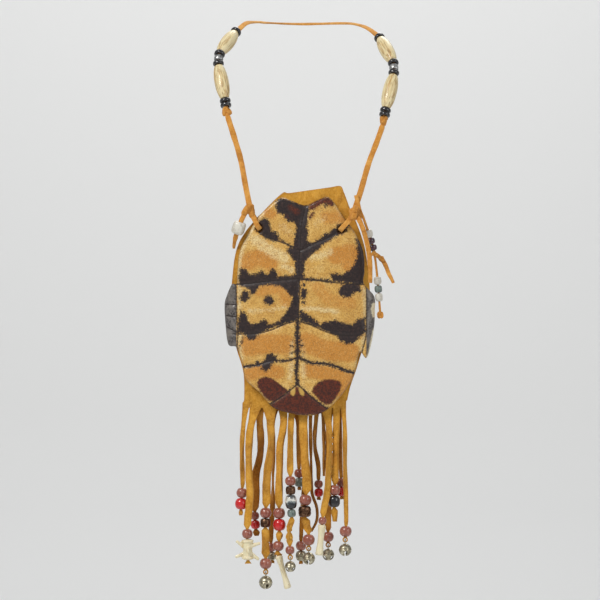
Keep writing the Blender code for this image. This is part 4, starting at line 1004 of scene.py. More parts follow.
# %% Seams, in the front layout
MIDLINE = [(306, 205), (304, 214), (301.6, 223), (300.6, 236), (300, 251), (299, 260), (299, 278),
           (299.4, 291), (298.6, 306), (298, 321), (297.2, 331), (297.4, 342), (297.6, 360),
           (296.6, 374), (297.5, 385)]
SEAMS = [
    MIDLINE,
    [(256, 229), (264, 236), (274, 240), (285, 243.5), (293, 247.5), (300, 251)],
    [(347, 226), (338, 232), (327, 238.5), (316, 243), (307, 247.5), (300, 251)],
    [(235, 284.5), (250, 283.6), (266, 281.6), (284, 280), (299, 278.6)],
    [(299, 279), (306.6, 279.6), (322, 281), (338, 283), (352.6, 284), (366, 284.5)],
    [(233, 334), (247, 334), (260.7, 332.7), (272, 329.6), (284, 324.5), (296.4, 320.6)],
    [(299, 321.4), (311, 325), (323, 330.5), (337, 334.7), (350, 335.4), (359.7, 334.7),
     (366, 331)],
    [(239, 367), (250, 365.8), (258.7, 364.5), (265, 362.4), (271, 360.4), (279, 360.4),
     (288, 361), (297, 357.3)],
    [(298, 357.6), (304, 359.6), (311.7, 363), (319, 363.2), (327, 363.5), (335, 366),
     (342.3, 368.6), (355.6, 374)],
    [(297.5, 384), (289, 391), (281, 397), (273, 402), (267, 407)],
    [(298, 384.5), (305, 391), (313, 398.5), (322, 405), (329, 410)],
    [(236, 282), (236.6, 300), (237, 320), (238, 333), (237, 348)],
    [(366, 283), (366.6, 300), (366.4, 320), (366, 334), (362, 352)],
    [(223, 304), (231, 304.4), (237, 305)],
    [(223, 315), (230, 316), (237, 317)],
    [(224, 325), (231, 329), (238, 333)],
]


def drawn_line(drawn):
    """Points of the layout as points in the x, z plane."""
    return [Vector((x, 0.0, z)) for x, z in (from_layout(*p) for p in drawn)]


seam_points = [p for seam in SEAMS for p in evenly(smooth_route(drawn_line(seam), 6), 0.0009)]
seam_tree = tree_of(seam_points)
print(len(SEAMS), "seams,", len(seam_points), "points")

# %% [markdown]
# The blotches are simple closed shapes and a few strokes. A point of the plate learns how far it
# lies inside or outside each shape, and the material tears the edge there. One list is for the
# black-brown blotches, one for the maroon, one for the orange fields, and one for the pale rims
# with painted highlights, pale streaks that stand for light glinting across the scutes.

# %% Blotches, in the front layout
DARK_SHAPES = [
    [(278.7, 198.4), (290.9, 200), (304.7, 204.9), (309.5, 205.2), (309.3, 210.6),
     (308.1, 218.3), (307.2, 226),
     (308.5, 233.6), (307.7, 241.2), (312.3, 242.7), (320, 239), (324.6, 233.6), (329.9, 231.5),
     (335.3, 227.4),
     (338.7, 223.6), (350, 225.1), (344.5, 233.6), (336.8, 236.8), (329.2, 241), (322.3, 245.4),
     (318.5, 250.4),
     (312.3, 253.5), (308.5, 257.3), (304.6, 262), (303.6, 278), (296, 278), (294.8, 262),
     (290.9, 256.5),
     (287.2, 252.5), (286.7, 248.4), (292.4, 247.3), (294, 241.2), (295.5, 233.6),
     (296.3, 225.9), (294, 221.7),
     (288.6, 222.8), (284.8, 219.8), (284, 214.4), (277.9, 213.7), (275.6, 209.1), (275.6, 203)],
    [(263.4, 217.5), (268, 218.5), (270.2, 225.9), (271.8, 230.5), (277.9, 233.8),
     (279.5, 238.9), (276, 242),
     (268, 240), (261.8, 235.5), (255, 230.4), (258, 224)],
    [(240.3, 267.4), (246.4, 268.4), (249.5, 274), (257.7, 274), (260.7, 270.6), (267.9, 274),
     (271.9, 268.4),
     (276, 271.4), (278.1, 277), (286.2, 274.8), (290.3, 276), (296, 274), (300, 279),
     (299.5, 300), (300, 318),
     (296.4, 320.8), (288, 323), (276, 326.5), (265.8, 330), (258.5, 335), (253.6, 340.4),
     (248, 339.3),
     (244.4, 333.6), (237, 332.4), (238.5, 318), (240.3, 309.5), (243, 311.2), (246.4, 313.3),
     (248.5, 320.4),
     (251.5, 324), (258.7, 322.5), (264.8, 318.4), (268.9, 324.5), (276, 322.5), (281.6, 318.4),
     (285.5, 313.3),
     (288, 308.6), (291.2, 303), (291.6, 297), (286.5, 290.5), (280, 286), (268, 284.6),
     (259.5, 286.7),
     (256.6, 292.5), (251.5, 295.5), (249.5, 290.4), (244, 286.8), (238, 286)],
    [(244.4, 289.6), (249, 292), (249.6, 297.5), (246.4, 301.8), (241.3, 302.6), (239.6, 297)],
    [(265.2, 296.2), (270, 294.8), (273.6, 298), (273.8, 302.6), (270.2, 305.4), (265.8, 304.4),
     (263.8, 300.4)],
    [(330.1, 274), (335.2, 273.6), (342.3, 274.4), (349.5, 270.2), (355.4, 262.3),
     (357.7, 254.1), (356.6, 247),
     (355.4, 239), (360, 238), (364.2, 248), (365.6, 262), (365.6, 284), (357.7, 285),
     (347.4, 283.4), (332.1, 281.6)],
    [(337.8, 291.8), (341.3, 284.7), (352.6, 283), (360, 284.7), (361.7, 292.3), (354.6, 292.8),
     (349.5, 297.4),
     (340.3, 296.6)],
    [(299.4, 308.6), (306.6, 313.6), (314.8, 319.4), (320.5, 324.8), (326, 321.4), (336.2, 320),
     (343.4, 322.6),
     (352.6, 324.4), (357.7, 319), (365.5, 317), (366, 331), (361, 337), (354.6, 342.6),
     (346.4, 344),
     (340, 341), (336.2, 335.6), (327, 331.8), (319.9, 328.8), (310, 324.8), (299.4, 321.4)],
    [(266, 354), (271.5, 352.6), (276.6, 355.6), (277.6, 360), (272.4, 363.6), (270.4, 368),
     (266, 371), (261, 369),
     (260.6, 364.4), (264, 360.6)],
    [(255.6, 360.5), (259.4, 360.2), (260, 364.2), (256.4, 365.4)],
    [(301, 288), (306.4, 288.8), (307.6, 294), (305, 299.4), (300.4, 298)],
]
DARK_STROKES = [
    ([(299.4, 252), (299, 262), (299, 278)], 3.0, 1.0),
    ([(298, 318), (297.4, 332), (297.2, 345), (297.4, 357)], 2.3, 1.0),
    ([(291, 346), (297, 347), (303, 345)], 1.3, 0.9),
    ([(292, 352.4), (297, 351), (303, 352)], 1.3, 0.9),
    ([(292.6, 340.6), (297, 342), (302, 340)], 1.2, 0.85),
    ([(297.4, 358), (296.6, 372), (297.4, 384)], 1.9, 1.0),
    ([(240, 366.8), (252, 365.6), (262, 364)], 1.7, 1.0),
    ([(272, 361.4), (284, 361), (297, 357.5)], 1.3, 1.0),
    ([(299, 357.8), (311.7, 363), (327, 363.6), (338, 367.4), (356, 374)], 1.7, 1.0),
    ([(303.6, 302.5)], 2.2, 0.9), ([(303.6, 284.6)], 2.0, 0.9), ([(311, 278)], 1.9, 0.9),
    ([(321, 280)], 2.1, 0.9),
    ([(301, 279), (315, 279.8), (332, 281.6)], 1.5, 1.0),
    ([(279, 239.5), (288, 245), (298, 250)], 1.2, 1.0),
    ([(298, 384.5), (305, 391), (313, 398.5), (322, 405), (329, 409)], 1.4, 1.0),
    ([(297.5, 384.5), (289, 391), (281, 397), (273, 402), (268, 405)], 1.4, 1.0),
    ([(326, 204.5)], 3.4, 0.85), ([(320.5, 209)], 2.2, 0.6), ([(297.8, 386), (298, 412)], 0.9, 0.9),
    ([(243, 338), (239, 348)], 2.6, 0.6), ([(254, 216), (249, 226), (243, 240)], 1.4, 0.55),
]
MAROON_SHAPES = [
    [(257.2, 382), (259, 378.6), (263.8, 376.4), (269, 376.8), (274.4, 379.4), (281.1, 384.6),
     (288.8, 390.6),
     (282.6, 397.1), (274, 402), (269.4, 401), (264.6, 396.6), (260.4, 391.6), (257.8, 387)],
    [(311.6, 391.6), (313.6, 386.4), (318, 381.6), (324.5, 379.4), (333, 379), (339.4, 380.6),
     (341.8, 384.4),
     (340.4, 390.4), (336.4, 397), (331.6, 403.6), (325.5, 404.8), (319.8, 400.6)],
    [(297.4, 386), (288.3, 391), (281, 397.5), (272.4, 403), (268, 407), (279, 411), (296, 415),
     (322, 415),
     (332, 410), (322, 404.5), (311.7, 396), (303, 388)],
]
MAROON_STROKES = [
    ([(312, 207), (318, 203), (327, 201), (331, 203)], 4.6, 0.72),
    ([(313, 213), (310, 218)], 3.6, 0.62),
    ([(291, 208), (297, 212)], 4.6, 0.62), ([(287, 216), (291, 219)], 3.0, 0.5),
]
GOLD_STROKES = [([(293.2, 388.6), (293, 393)], 2.3, 1.0),
                ([(300.8, 388.6), (302.4, 393.4)], 2.1, 1.0)]
ORANGE_STROKES = [
    ([(246, 262), (262, 258), (270, 262)], 9.0, 0.75),
    ([(336, 256), (352, 254), (350, 264)], 9.0, 0.85),
    ([(258, 290), (284, 292), (286, 302)], 7.0, 0.6),
    ([(318, 288), (332, 300), (350, 302)], 8.0, 0.5),
    ([(248, 346), (268, 344), (286, 344)], 10.0, 0.85),
    ([(306, 342), (326, 350), (350, 352)], 10.0, 0.85),
    ([(250, 374), (262, 370), (278, 372)], 7.0, 0.85),
    ([(310, 370), (330, 374), (350, 380)], 7.0, 0.95),
    ([(264, 212), (272, 214)], 6.0, 0.7), ([(326, 218), (342, 218)], 7.0, 0.6),
    ([(340, 392), (346, 386)], 5.0, 1.0),
]
# Pale rims along the plate's edge, then painted highlights: pale streaks inside the scutes that
# stand for light glinting on them.
PALE_RIMS_AND_PAINTED_HIGHLIGHTS = [
    ([(239.4, 284), (239.6, 262), (243, 247), (252.6, 229), (262, 214)], 2.2, 0.9),
    ([(365.5, 262), (362, 244), (352, 226), (343, 214), (334, 202)], 1.5, 0.85),
    ([(239.8, 288), (239.4, 298), (239.4, 312)], 2.0, 0.9),
    ([(240, 336), (240, 348), (242, 358)], 2.2, 0.85),
    ([(364, 290), (364.6, 304), (364.4, 318)], 1.7, 0.8),
    ([(363.4, 338), (361, 350), (357, 364)], 1.7, 0.8),
    # Painted highlights from here on: light glinting on the scutes.
    ([(256, 240), (266, 248), (284, 258)], 6.5, 0.62), ([(312, 258), (330, 252)], 4.5, 0.55),
    ([(284, 266), (292, 270)], 4.0, 0.6), ([(250, 311), (270, 309.5), (286, 307)], 2.0, 0.7),
    ([(301, 308.6), (314, 308.8), (338, 312)], 1.8, 0.95), ([(292, 342), (292, 356)], 2.6, 0.7),
    ([(302, 342), (303, 356)], 2.4, 0.6), ([(292, 364), (290, 378)], 3.6, 0.6),
    ([(303, 364), (304, 376)], 3.2, 0.6),
    ([(288, 232), (282, 226)], 5.0, 0.4), ([(316, 224), (324, 218)], 4.0, 0.4),
]


EDGE_SOFT = 3.2           # layout units over which a blotch fades, which the material then tears


def read_strokes(strokes, places):
    """The strongest stroke at each place: 1 on its line, a half at its edge, 0 well outside."""
    best = np.zeros(len(places))
    for points, reach, strength in strokes:
        line = drawn_line(points)
        for p in (evenly(smooth_route(line, 6), 0.0006) if len(line) > 1 else line):
            away = np.hypot(places[:, 0] - p.x, places[:, 1] - p.z) / PX - reach
            best = np.maximum(best, strength * np.clip(0.5 - away / (2 * EDGE_SOFT), 0, 1))
    return best


def read_shapes(shapes, places):
    """The same for closed shapes, by how far inside the nearest side each place lies."""
    best = np.zeros(len(places))
    for shape in shapes:
        ring = [from_layout(*p) for p in shape]
        away = np.full(len(places), 1.0)
        for (x0, z0), (x1, z1) in zip(ring, ring[1:] + ring[:1]):
            dx, dz = x1 - x0, z1 - z0
            t = ((places[:, 0] - x0) * dx + (places[:, 1] - z0) * dz) / (dx * dx + dz * dz)
            t = np.clip(t, 0, 1)
            to_side = np.hypot(places[:, 0] - x0 - t * dx, places[:, 1] - z0 - t * dz)
            away = np.minimum(away, to_side)
        inwards = np.where(inside_many(places, ring), away, -away) / PX
        best = np.maximum(best, np.clip(0.5 + inwards / (2 * EDGE_SOFT), 0, 1))
    return best


# %% The plate's relief
BRIDGE_LEFT_X = -0.0440   # where the grey of each bridge starts
BRIDGE_RIGHT_X = 0.0459
BRIDGE_FADE = 0.0070
PLATE_SPACING = 0.00074
PLATE_HOLE = 0.0042
FIELD_REACH = 0.006       # how far from a seam or the rim their soft fields go


def outside_bridges(x):
    """How far a point is out on a bridge: 0 on the plate, 1 at a bridge's outer edge."""
    past = BRIDGE_LEFT_X - x if x < 0 else x - BRIDGE_RIGHT_X
    return max(0.0, min(1.0, past / BRIDGE_FADE))


def shell_relief(x, z, away):
    """How far the plate's face stands proud of its smooth bend here, in metres."""
    groove = 0.00062 * math.exp(-(away / 0.00052) ** 2) + 0.00030 * math.exp(-(away / 0.0022) ** 2)
    scute = 0.00055 * min(1.0, away / 0.0085)
    growth_rings = 0.000055 * math.sin(away * 2 * math.pi / 0.00165) * math.exp(-away / 0.0065)
    lumps = 0.00022 * noise.noise(Vector((x * 95, 0.4, z * 95)))
    pits = 0.00008 * noise.noise(Vector((x * 320, 2.0, z * 320)))
    return scute - groove + growth_rings + (lumps + pits)


def add_back(bm):
    """Copies a sheet as its own back, joins the two along every edge, and gives the copies."""
    rim = [e for e in bm.edges if e.is_boundary]
    copy = bmesh.ops.duplicate(bm, geom=bm.faces[:])
    twin = copy["vert_map"]
    back = [g for g in copy["geom"] if isinstance(g, bmesh.types.BMFace)]
    bmesh.ops.reverse_faces(bm, faces=back)
    for edge in rim:
        loop = edge.link_loops[0]
        a, b = loop.vert, loop.link_loop_next.vert
        bm.faces.new((b, a, twin[a], twin[b]))
    return twin


def make_plate():
    """The plate with its holes, relief and colour fields, as a closed shell."""
    holes = [round_hole(*hole, PLATE_HOLE, 20) for hole in LASH_HOLES.values()]
    bm = cut_sheet(plate_ring, holes, PLATE_SPACING)
    face_front(bm)
    places = np.array([(v.co.x, v.co.z) for v in bm.verts])
    rim_tree = tree_of([v.co.copy() for v in bm.verts if v.is_boundary])
    fields = {
        "dark": np.maximum(read_shapes(DARK_SHAPES, places), read_strokes(DARK_STROKES, places)),
        "maroon": np.maximum(read_shapes(MAROON_SHAPES, places),
                             read_strokes(MAROON_STROKES, places)),
        "gold": read_strokes(GOLD_STROKES, places), "orange": read_strokes(ORANGE_STROKES, places),
        # The pale field holds pale rims and painted highlights.
        "pale": read_strokes(PALE_RIMS_AND_PAINTED_HIGHLIGHTS, places), "inner": read_shapes(BROKEN, places),
    }
    layers = {name: bm.verts.layers.float.new(name) for name in (*fields, "seam", "rim", "bridge")}
    for i, vert in enumerate(bm.verts):
        x, z = vert.co.x, vert.co.z
        away = seam_tree.find(vert.co)[2]
        to_rim = rim_tree.find(vert.co)[2]
        for name, values in fields.items():
            vert[layers[name]] = values[i]
        vert[layers["seam"]] = min(1.0, away / FIELD_REACH)
        vert[layers["rim"]] = min(1.0, to_rim / FIELD_REACH)
        vert[layers["bridge"]] = outside_bridges(x)
        rounding = 0.0013 * max(0.0, 1 - to_rim / 0.0021) ** 2
        vert.co.y = (plate_y(x, z) - PLATE_THICK / 2 - shell_relief(x, z, away) + rounding
                     + 0.0007 * vert[layers["inner"]])
    fronts = list(bm.verts)
    twin = add_back(bm)
    for vert in fronts:
        x, z = vert.co.x, vert.co.z
        rounding = 0.0007 * max(0.0, 1 - rim_tree.find((x, 0, z))[2] / 0.0018) ** 2
        twin[vert].co.y = plate_y(x, z) + PLATE_THICK / 2 - rounding
    bmesh.ops.recalc_face_normals(bm, faces=bm.faces)
    return bm


BROKEN = [
    [(370.6, 309.2), (371.9, 303.6), (379, 301.5), (379.5, 311.2), (377.4, 317), (372.6, 317)],
    [(375.6, 326.6), (379, 333), (377, 347), (371, 360), (365.6, 359.4), (368.6, 350),
     (370.6, 340), (372.6, 330)],
]
plate_shell = make_plate()

# %% [markdown]
# ### Varnished shell
# The ground is ochre with orange fields and a fine brown speckle, which is the bone seen through
# worn horn. The dark blotches are added with their edges broken by noise, then the maroon of the
# last scutes, then the pale rims with painted highlights, pale streaks that stand for light
# glinting across the scutes. The seams are near black. A coat of varnish lies over everything, and
# the bridges are grey, scaly and duller.

# %% The shell's material
def ragged(n, name, place, low, high, amount=1.0):
    """A soft field whose edge is torn by three sizes of noise."""
    torn = n.field(name)
    for scale, detail, share in ((380, 3, 0.9), (1000, 4, 1.5), (2600, 3, 1.3)):
        bumps = n.noise(place, scale, detail, 0.7, 0.3)
        bumps = n.math("SUBTRACT", bumps, 0.5)
        torn = n.math("ADD", torn, n.math("MULTIPLY", bumps, amount * share))
    return n.spread(torn, low, high)


def varnished_shell():
    n = Nodes("varnished_shell")
    place = n.where()
    wide = n.noise(place, 130, 4, 0.6, 0.4)
    speckle = n.noise(place, 1500, 4, 0.8)
    grains = n.noise(place, 950, 3, 0.75)
    mottle = n.noise(place, 800, 5, 0.72, 0.3)
    fibres = n.noise(n.where((1, 1, 0.25)), 1900, 3, 0.7)
    colour = n.ramp(wide, [(0.32, (0.60, 0.33, 0.070)), (0.52, (0.72, 0.43, 0.105)),
                           (0.72, (0.80, 0.54, 0.18))])
    orange = n.math("MULTIPLY", ragged(n, "orange", place, 0.15, 0.75, 0.6), 0.85)
    colour = n.mix(orange, colour, (0.60, 0.235, 0.030))
    # Pale rims, and painted highlights where light glints across the scutes.
    pale = n.math("MULTIPLY", ragged(n, "pale", place, 0.25, 0.70, 0.8), 0.85)
    colour = n.mix(pale, colour, (0.86, 0.70, 0.36))
    colour = n.mix(n.spread(fibres, 0.52, 0.66, 0.0, 0.40), colour, (0.84, 0.62, 0.24))
    colour = n.mix(n.spread(grains, 0.50, 0.60, 0.0, 0.62), colour, (0.46, 0.205, 0.036))
    colour = n.mix(n.spread(speckle, 0.52, 0.60, 0.0, 0.80), colour, (0.30, 0.120, 0.026))
    colour = n.mix(n.spread(mottle, 0.61, 0.72, 0.0, 0.60), colour, (0.20, 0.080, 0.024))
    black = n.mix(n.spread(mottle, 0.46, 0.70), (0.020, 0.012, 0.012), (0.060, 0.032, 0.026))
    black = n.mix(n.spread(speckle, 0.60, 0.68, 0.0, 0.35), black, (0.24, 0.15, 0.10))
    colour = n.mix(ragged(n, "dark", place, 0.40, 0.60, 0.95), colour, black)
    red = n.mix(n.spread(mottle, 0.36, 0.60), (0.150, 0.028, 0.010), (0.048, 0.012, 0.007))
    colour = n.mix(ragged(n, "maroon", place, 0.36, 0.66, 0.45), colour, red)
    colour = n.mix(ragged(n, "gold", place, 0.40, 0.62, 0.4), colour, (0.56, 0.34, 0.075))
    rim = n.spread(n.field("rim"), 0.0, 0.16, 0.45, 0.0)
    colour = n.mix(rim, colour, (0.10, 0.048, 0.022))
    grey = n.mix(n.spread(mottle, 0.40, 0.64), (0.150, 0.135, 0.125), (0.030, 0.024, 0.024))
    grey = n.mix(n.spread(wide, 0.46, 0.62, 0.0, 0.6), grey, (0.24, 0.21, 0.18))
    colour = n.mix(n.spread(n.field("bridge"), 0.0, 0.12), colour, grey)
    tear = n.math("MULTIPLY", n.math("SUBTRACT", mottle, 0.5), 0.12)
    seam = n.spread(n.math("ADD", n.field("seam"), tear), 0.045, 0.14, 1.0, 0.0)
    colour = n.mix(n.math("MULTIPLY", seam, 0.90), colour, (0.020, 0.011, 0.009))
    cream = n.mix(n.spread(mottle, 0.4, 0.65), (0.82, 0.74, 0.52), (0.58, 0.46, 0.27))
    colour = n.mix(ragged(n, "inner", place, 0.42, 0.58, 0.35), colour, cream)
    height = n.math("ADD", n.math("MULTIPLY", mottle, 0.7), n.math("MULTIPLY", speckle, 0.35))
    normal = n.bump(height, 0.00030, 0.8)
    rough = n.spread(mottle, 0.35, 0.7, 0.34, 0.58)
    return n.done(colour, rough, normal, Coat_Weight=0.30, Coat_Roughness=0.14,
                  Specular_IOR_Level=0.3)


finish_piece("shell_plate", plate_shell, varnished_shell(), replaces=("turtle_plastron",),
             sharp=80)
print("shell plate", MADE["shell_plate"], "faces")

# %% [markdown]
# ## The suede pouch and its fringe
# Each panel and its strips are one cut piece of hide. The strips are drawn as a middle line with a
# width down it: wide where a strip hangs free, pinched where it is pulled through a bead, and left
# as a punched tab where a bell's ring goes through. Hung strips twist and sway, so a point that
# lies off a strip's middle line is turned about that line by an angle that changes on the way down.

# %% The strips
SHOULDER = 0.0022         # the length over which a strip widens again below a bead
ROOT_FLARE = 0.0150       # over this drop a strip narrows from its root
ROOT_MOST = 0.0052        # the most that a root reaches to one side
SLIT = 0.0004
# By how much each strip is fuller than the width that is listed for it below
FULLER = {"a": 1.1, "b": 1.3, "d": 1.5, "e": 1.45, "f": 1.3, "h": 1.3, "j": 1.35, "l": 1.2,
          "n": 1.5, "c": 2.0, "r": 1.6, "g": 1.6, "s": 1.7, "t": 1.3, "i": 1.8, "u": 1.6,
          "k": 1.5, "m": 1.8}
TAB_WIDTH = 0.0038
TAB_HOLE = 0.0020
TAB_MARGIN = 0.0009
# Each strip: its layer, its root as a share of the half width, its width, how far it hangs forward
# or back, its middle line as (sideways, drop), and its stacks as (drop, pieces from the top)
STRIPS = {
    "a": ("front", -0.79, 0.0030, 0.0020,
          [(0, 0), (-0.0019, 0.0259), (-0.0016, 0.0553), (-0.0026, 0.0679), (-0.0027, 0.0750)],
          [(0.0560, [("wood", 0.0077), ("red", 0.0086)])]),
    "b": ("front", -0.66, 0.0044, 0.0062,
          [(0, 0), (-0.0030, 0.0200), (-0.0034, 0.0437), (-0.0026, 0.0612), (-0.0045, 0.0833),
           (-0.0040, 0.1030)],
          [(0.0845, [("wood", 0.0074), ("vertebra", 0.0150)])]),
    "d": ("front", -0.430, 0.0044, 0.0032,
          [(0, 0), (0.0006, 0.0263), (-0.0018, 0.0450), (-0.0024, 0.0612), (-0.0031, 0.0770),
           (-0.0030, 0.0950), (-0.0029, 0.1146)],
          [(0.0698, [("wood", 0.0080), ("bronze", 0.0074)]), (0.1050, [("wood", 0.0084)])]),
    "e": ("front", -0.219, 0.0042, 0.0040,
          [(0, 0), (-0.0010, 0.0136), (-0.0032, 0.0260), (-0.0036, 0.0406), (-0.0040, 0.0609),
           (-0.0038, 0.0740), (-0.0037, 0.0868), (-0.0044, 0.0980), (-0.0050, 0.1005),
           (-0.0043, 0.1030), (-0.0030, 0.1075)],
          [(0.0697, [("wood", 0.0084), ("red", 0.0090)]), (0.0930, [("wood", 0.0077)]),
           (0.1030, [("long_bone", 0.0240)])]),
    "f": ("front", -0.126, 0.0038, 0.0086,
          [(0, 0), (-0.0006, 0.0300), (-0.0006, 0.0466), (-0.0004, 0.0581), (-0.0001, 0.0672),
           (0.0004, 0.0770), (-0.0014, 0.0850), (-0.0011, 0.0920), (-0.0006, 0.1039)],
          [(0.0474, [("wood", 0.0074), ("bronze", 0.0070), ("striped", 0.0081), ("grey", 0.0060)]),
           (0.0961, [("wood", 0.0064)])]),
    "h": ("front", 0.034, 0.0052, 0.0050,
          [(0, 0), (0.0010, 0.0234), (0.0018, 0.0378), (0.0031, 0.0560), (0.0020, 0.0645),
           (0.0013, 0.0730), (0.0026, 0.0800), (0.0042, 0.0870), (0.0044, 0.0980)],
          [(0.0604, [("wood", 0.0086), ("bronze", 0.0092)]), (0.0882, [("wood", 0.0086)])]),
    "j": ("front", 0.392, 0.0038, 0.0078,
          [(0, 0), (0.0014, 0.0224), (0.0009, 0.0406), (-0.0006, 0.0609), (-0.0028, 0.0717),
           (-0.0036, 0.0790), (-0.0044, 0.0870)],
          [(0.0760, [("wood", 0.0056), ("short_bone", 0.0214)])]),
    "l": ("front", 0.529, 0.0044, 0.0036,
          [(0, 0), (-0.0007, 0.0175), (-0.0012, 0.0350), (-0.0015, 0.0525), (-0.0021, 0.0620),
           (-0.0016, 0.0793)],
          [(0.0539, [("wood", 0.0080), ("black", 0.0084)])]),
    "n": ("front", 0.629, 0.0026, 0.0020,
          [(0, 0), (0.0006, 0.0175), (0.0007, 0.0406), (0.0012, 0.0581), (0.0014, 0.0816),
           (0.0008, 0.0922)],
          [(0.0826, [("wood", 0.0084)])]),
    "c": ("back", -0.592, 0.0036, 0.0015,
          [(0, 0), (0.0009, 0.0339), (-0.0020, 0.0466), (-0.0021, 0.0612), (-0.0028, 0.0766),
           (-0.0014, 0.0900)],
          [(0.0732, [("wood", 0.0063), ("red", 0.0067)])]),
    "r": ("back", -0.400, 0.0028, 0.0022,
          [(0, 0), (0.0006, 0.0400), (0.0004, 0.0672), (-0.0007, 0.0980), (0.0000, 0.1060)],
          [(0.0950, [("wood", 0.0070), ("bell_bead", 0.0060)])]),
    "g": ("back", -0.03, 0.0024, -0.0020,
          [(0, 0), (0.0007, 0.0420), (0.0010, 0.0560)],
          [(0.0430, [("wood", 0.0068), ("grey", 0.0068)])]),
    "s": ("back", 0.082, 0.0024, 0.0040,
          [(0, 0), (-0.0010, 0.0500), (-0.0032, 0.0900), (-0.0034, 0.1100)],
          [(0.0940, [("wood", 0.0074), ("bell_bead", 0.0074)])]),
    "t": ("back", 0.145, 0.0022, -0.0030,
          [(0, 0), (0.0010, 0.0500), (0.0014, 0.0600), (0.0048, 0.0710), (0.0046, 0.0790),
           (0.0008, 0.0868)], []),
    "i": ("back", 0.245, 0.0024, 0.0012,
          [(0, 0), (-0.0013, 0.0293), (0.0008, 0.0400), (0.0010, 0.0520), (0.0012, 0.0640)],
          [(0.0510, [("wood", 0.0062), ("red", 0.0064)])]),
    "u": ("back", 0.332, 0.0022, 0.0000, [(0, 0), (0.0004, 0.0250), (0.0005, 0.0480)], []),
    "k": ("back", 0.412, 0.0036, 0.0010,
          [(0, 0), (-0.0002, 0.0450), (-0.0005, 0.0780), (-0.0004, 0.0964)],
          [(0.0872, [("wood", 0.0080)])]),
    "m": ("back", 0.574, 0.0022, 0.0010,
          [(0, 0), (0.0002, 0.0300), (0.0006, 0.0460), (0.0012, 0.0620)],
          [(0.0494, [("wood", 0.0070), ("red", 0.0068)])]),
}
BELLS = {"d": 0.0094, "f": 0.0076, "h": 0.0088, "k": 0.0084, "n": 0.0088}
# Length of each kind of bead for a width of 1
BEAD_SHAPES = {"wood": 0.88, "red": 0.92, "bronze": 0.84, "striped": 1.2, "grey": 0.9,
               "black": 0.96, "bell_bead": 0.95}
# How far each strip turns about itself on the way down, in radians
TWISTS = {"a": 0.9, "b": -0.7, "d": 1.1, "e": -1.0, "f": 1.3, "h": -0.6, "j": 1.2, "l": -1.1,
          "n": 0.8, "c": 0.8, "r": -1.2, "g": 0.9, "s": -1.0, "t": 1.4, "i": -0.9, "u": 1.0,
          "k": 0.7, "m": -1.0}


# %% Lines, lengths and widths down a strip
EASE_DROP = 0.045         # over this drop a strip eases away from its panel's wall
LEAVES_BY = 0.0012        # the least that it moves away
CUT_STEP = 0.0014         # how far apart the points of a cut edge lie
BONES = ("long_bone", "short_bone", "vertebra")


def strip_line(key):
    """A strip's middle line as the pattern is drawn, flat."""
    root, way = STRIPS[key][1] * POUCH_WIDTH / 2, STRIPS[key][4]
    return smooth_route([(root + dx, 0.0, FRINGE_TOP_Z - drop) for dx, drop in way])


def strip_end(key):
    """How far below its root a strip ends."""
    return STRIPS[key][4][-1][1]


def line_x(line, z):
    """A falling line's x at a height."""
    for a, b in zip(line, line[1:]):
        if a.z >= z >= b.z:
            return a.x + (b.x - a.x) * (a.z - z) / max(a.z - b.z, 1e-9)
    return line[0].x if z > line[0].z else line[-1].x


def strip_y(key, x, z):
    """A strip leaves its panel's wall and eases forward, or back, as it hangs."""
    layer, forward = STRIPS[key][0], STRIPS[key][3]
    side = -1 if layer == "front" else 1
    t = max(0.0, min(1.0, (FRINGE_TOP_Z - z) / EASE_DROP))
    return panel_y(x, FRINGE_TOP_Z, layer) + side * (LEAVES_BY + forward) * t * t * (3 - 2 * t)


def on_strip(key, z):
    """The point in space where a strip's middle line is at a height."""
    x = line_x(strip_line(key), z)
    return Vector((x, strip_y(key, x, z), z))


def piece_length(kind, size):
    """A bone's size is its length; a bead's is its width."""
    return size if kind in BONES else size * BEAD_SHAPES[kind]


def stack_span(stack):
    """The drops at which a stack of beads starts and ends."""
    top, items = stack
    return top, top + sum(piece_length(k, s) for k, s in items) + TOUCH * (len(items) - 1)


def strip_widths(key):
    """(drop, width) down a strip, closely enough for a soft hand-cut edge."""
    wide, stacks = STRIPS[key][2], STRIPS[key][5]
    end = strip_end(key)
    last = 0.004
    marks = [(0.0, wide * 1.12), (last, wide)]
    for stack in stacks:
        top, bottom = stack_span(stack)
        marks += [(max(last + 0.0006, top - SHOULDER * 1.5), wide),
                  (top - 0.0008, NECK_WIDTH * 1.25), (top, NECK_WIDTH)]
        if "bone" in stack[1][-1][0]:
            return marks + [(end, NECK_WIDTH)]
        marks += [(bottom, NECK_WIDTH), (bottom + 0.0007, NECK_WIDTH * 1.3),
                  (bottom + SHOULDER, wide * 0.95)]
        last = bottom + SHOULDER
    if key in BELLS:
        return [m for m in marks if m[0] < end - TAB_WIDTH / 4]
    if last < end - 0.001:
        marks.append((end, wide * 0.62))
    return marks


def root_reach(key):
    """Where a strip's two sides start: at the slits halfway to its neighbours."""
    layer, root = STRIPS[key][:2]
    roots = sorted(strip[1] for strip in STRIPS.values() if strip[0] == layer)
    at = roots.index(root)
    own, half = root * POUCH_WIDTH / 2, STRIPS[key][2] * 0.56
    low, high = own - half, own + half
    if at > 0:
        low = (root + roots[at - 1]) / 4 * POUCH_WIDTH + SLIT / 2
    if at < len(roots) - 1:
        high = (root + roots[at + 1]) / 4 * POUCH_WIDTH - SLIT / 2
    return max(low, own - ROOT_MOST), min(high, own + ROOT_MOST)


def fine_widths(marks):
    """The widths of strip_widths, eased from one to the next in steps of a cut edge."""
    drops = []
    for (d0, w0), (d1, w1) in zip(marks, marks[1:]):
        count = max(1, round((d1 - d0) / CUT_STEP))
        for i in range(count):
            ease = 3 * (i / count) ** 2 - 2 * (i / count) ** 3
            drops.append((d0 + (d1 - d0) * i / count, w0 + (w1 - w0) * ease))
    return drops + [marks[-1]]


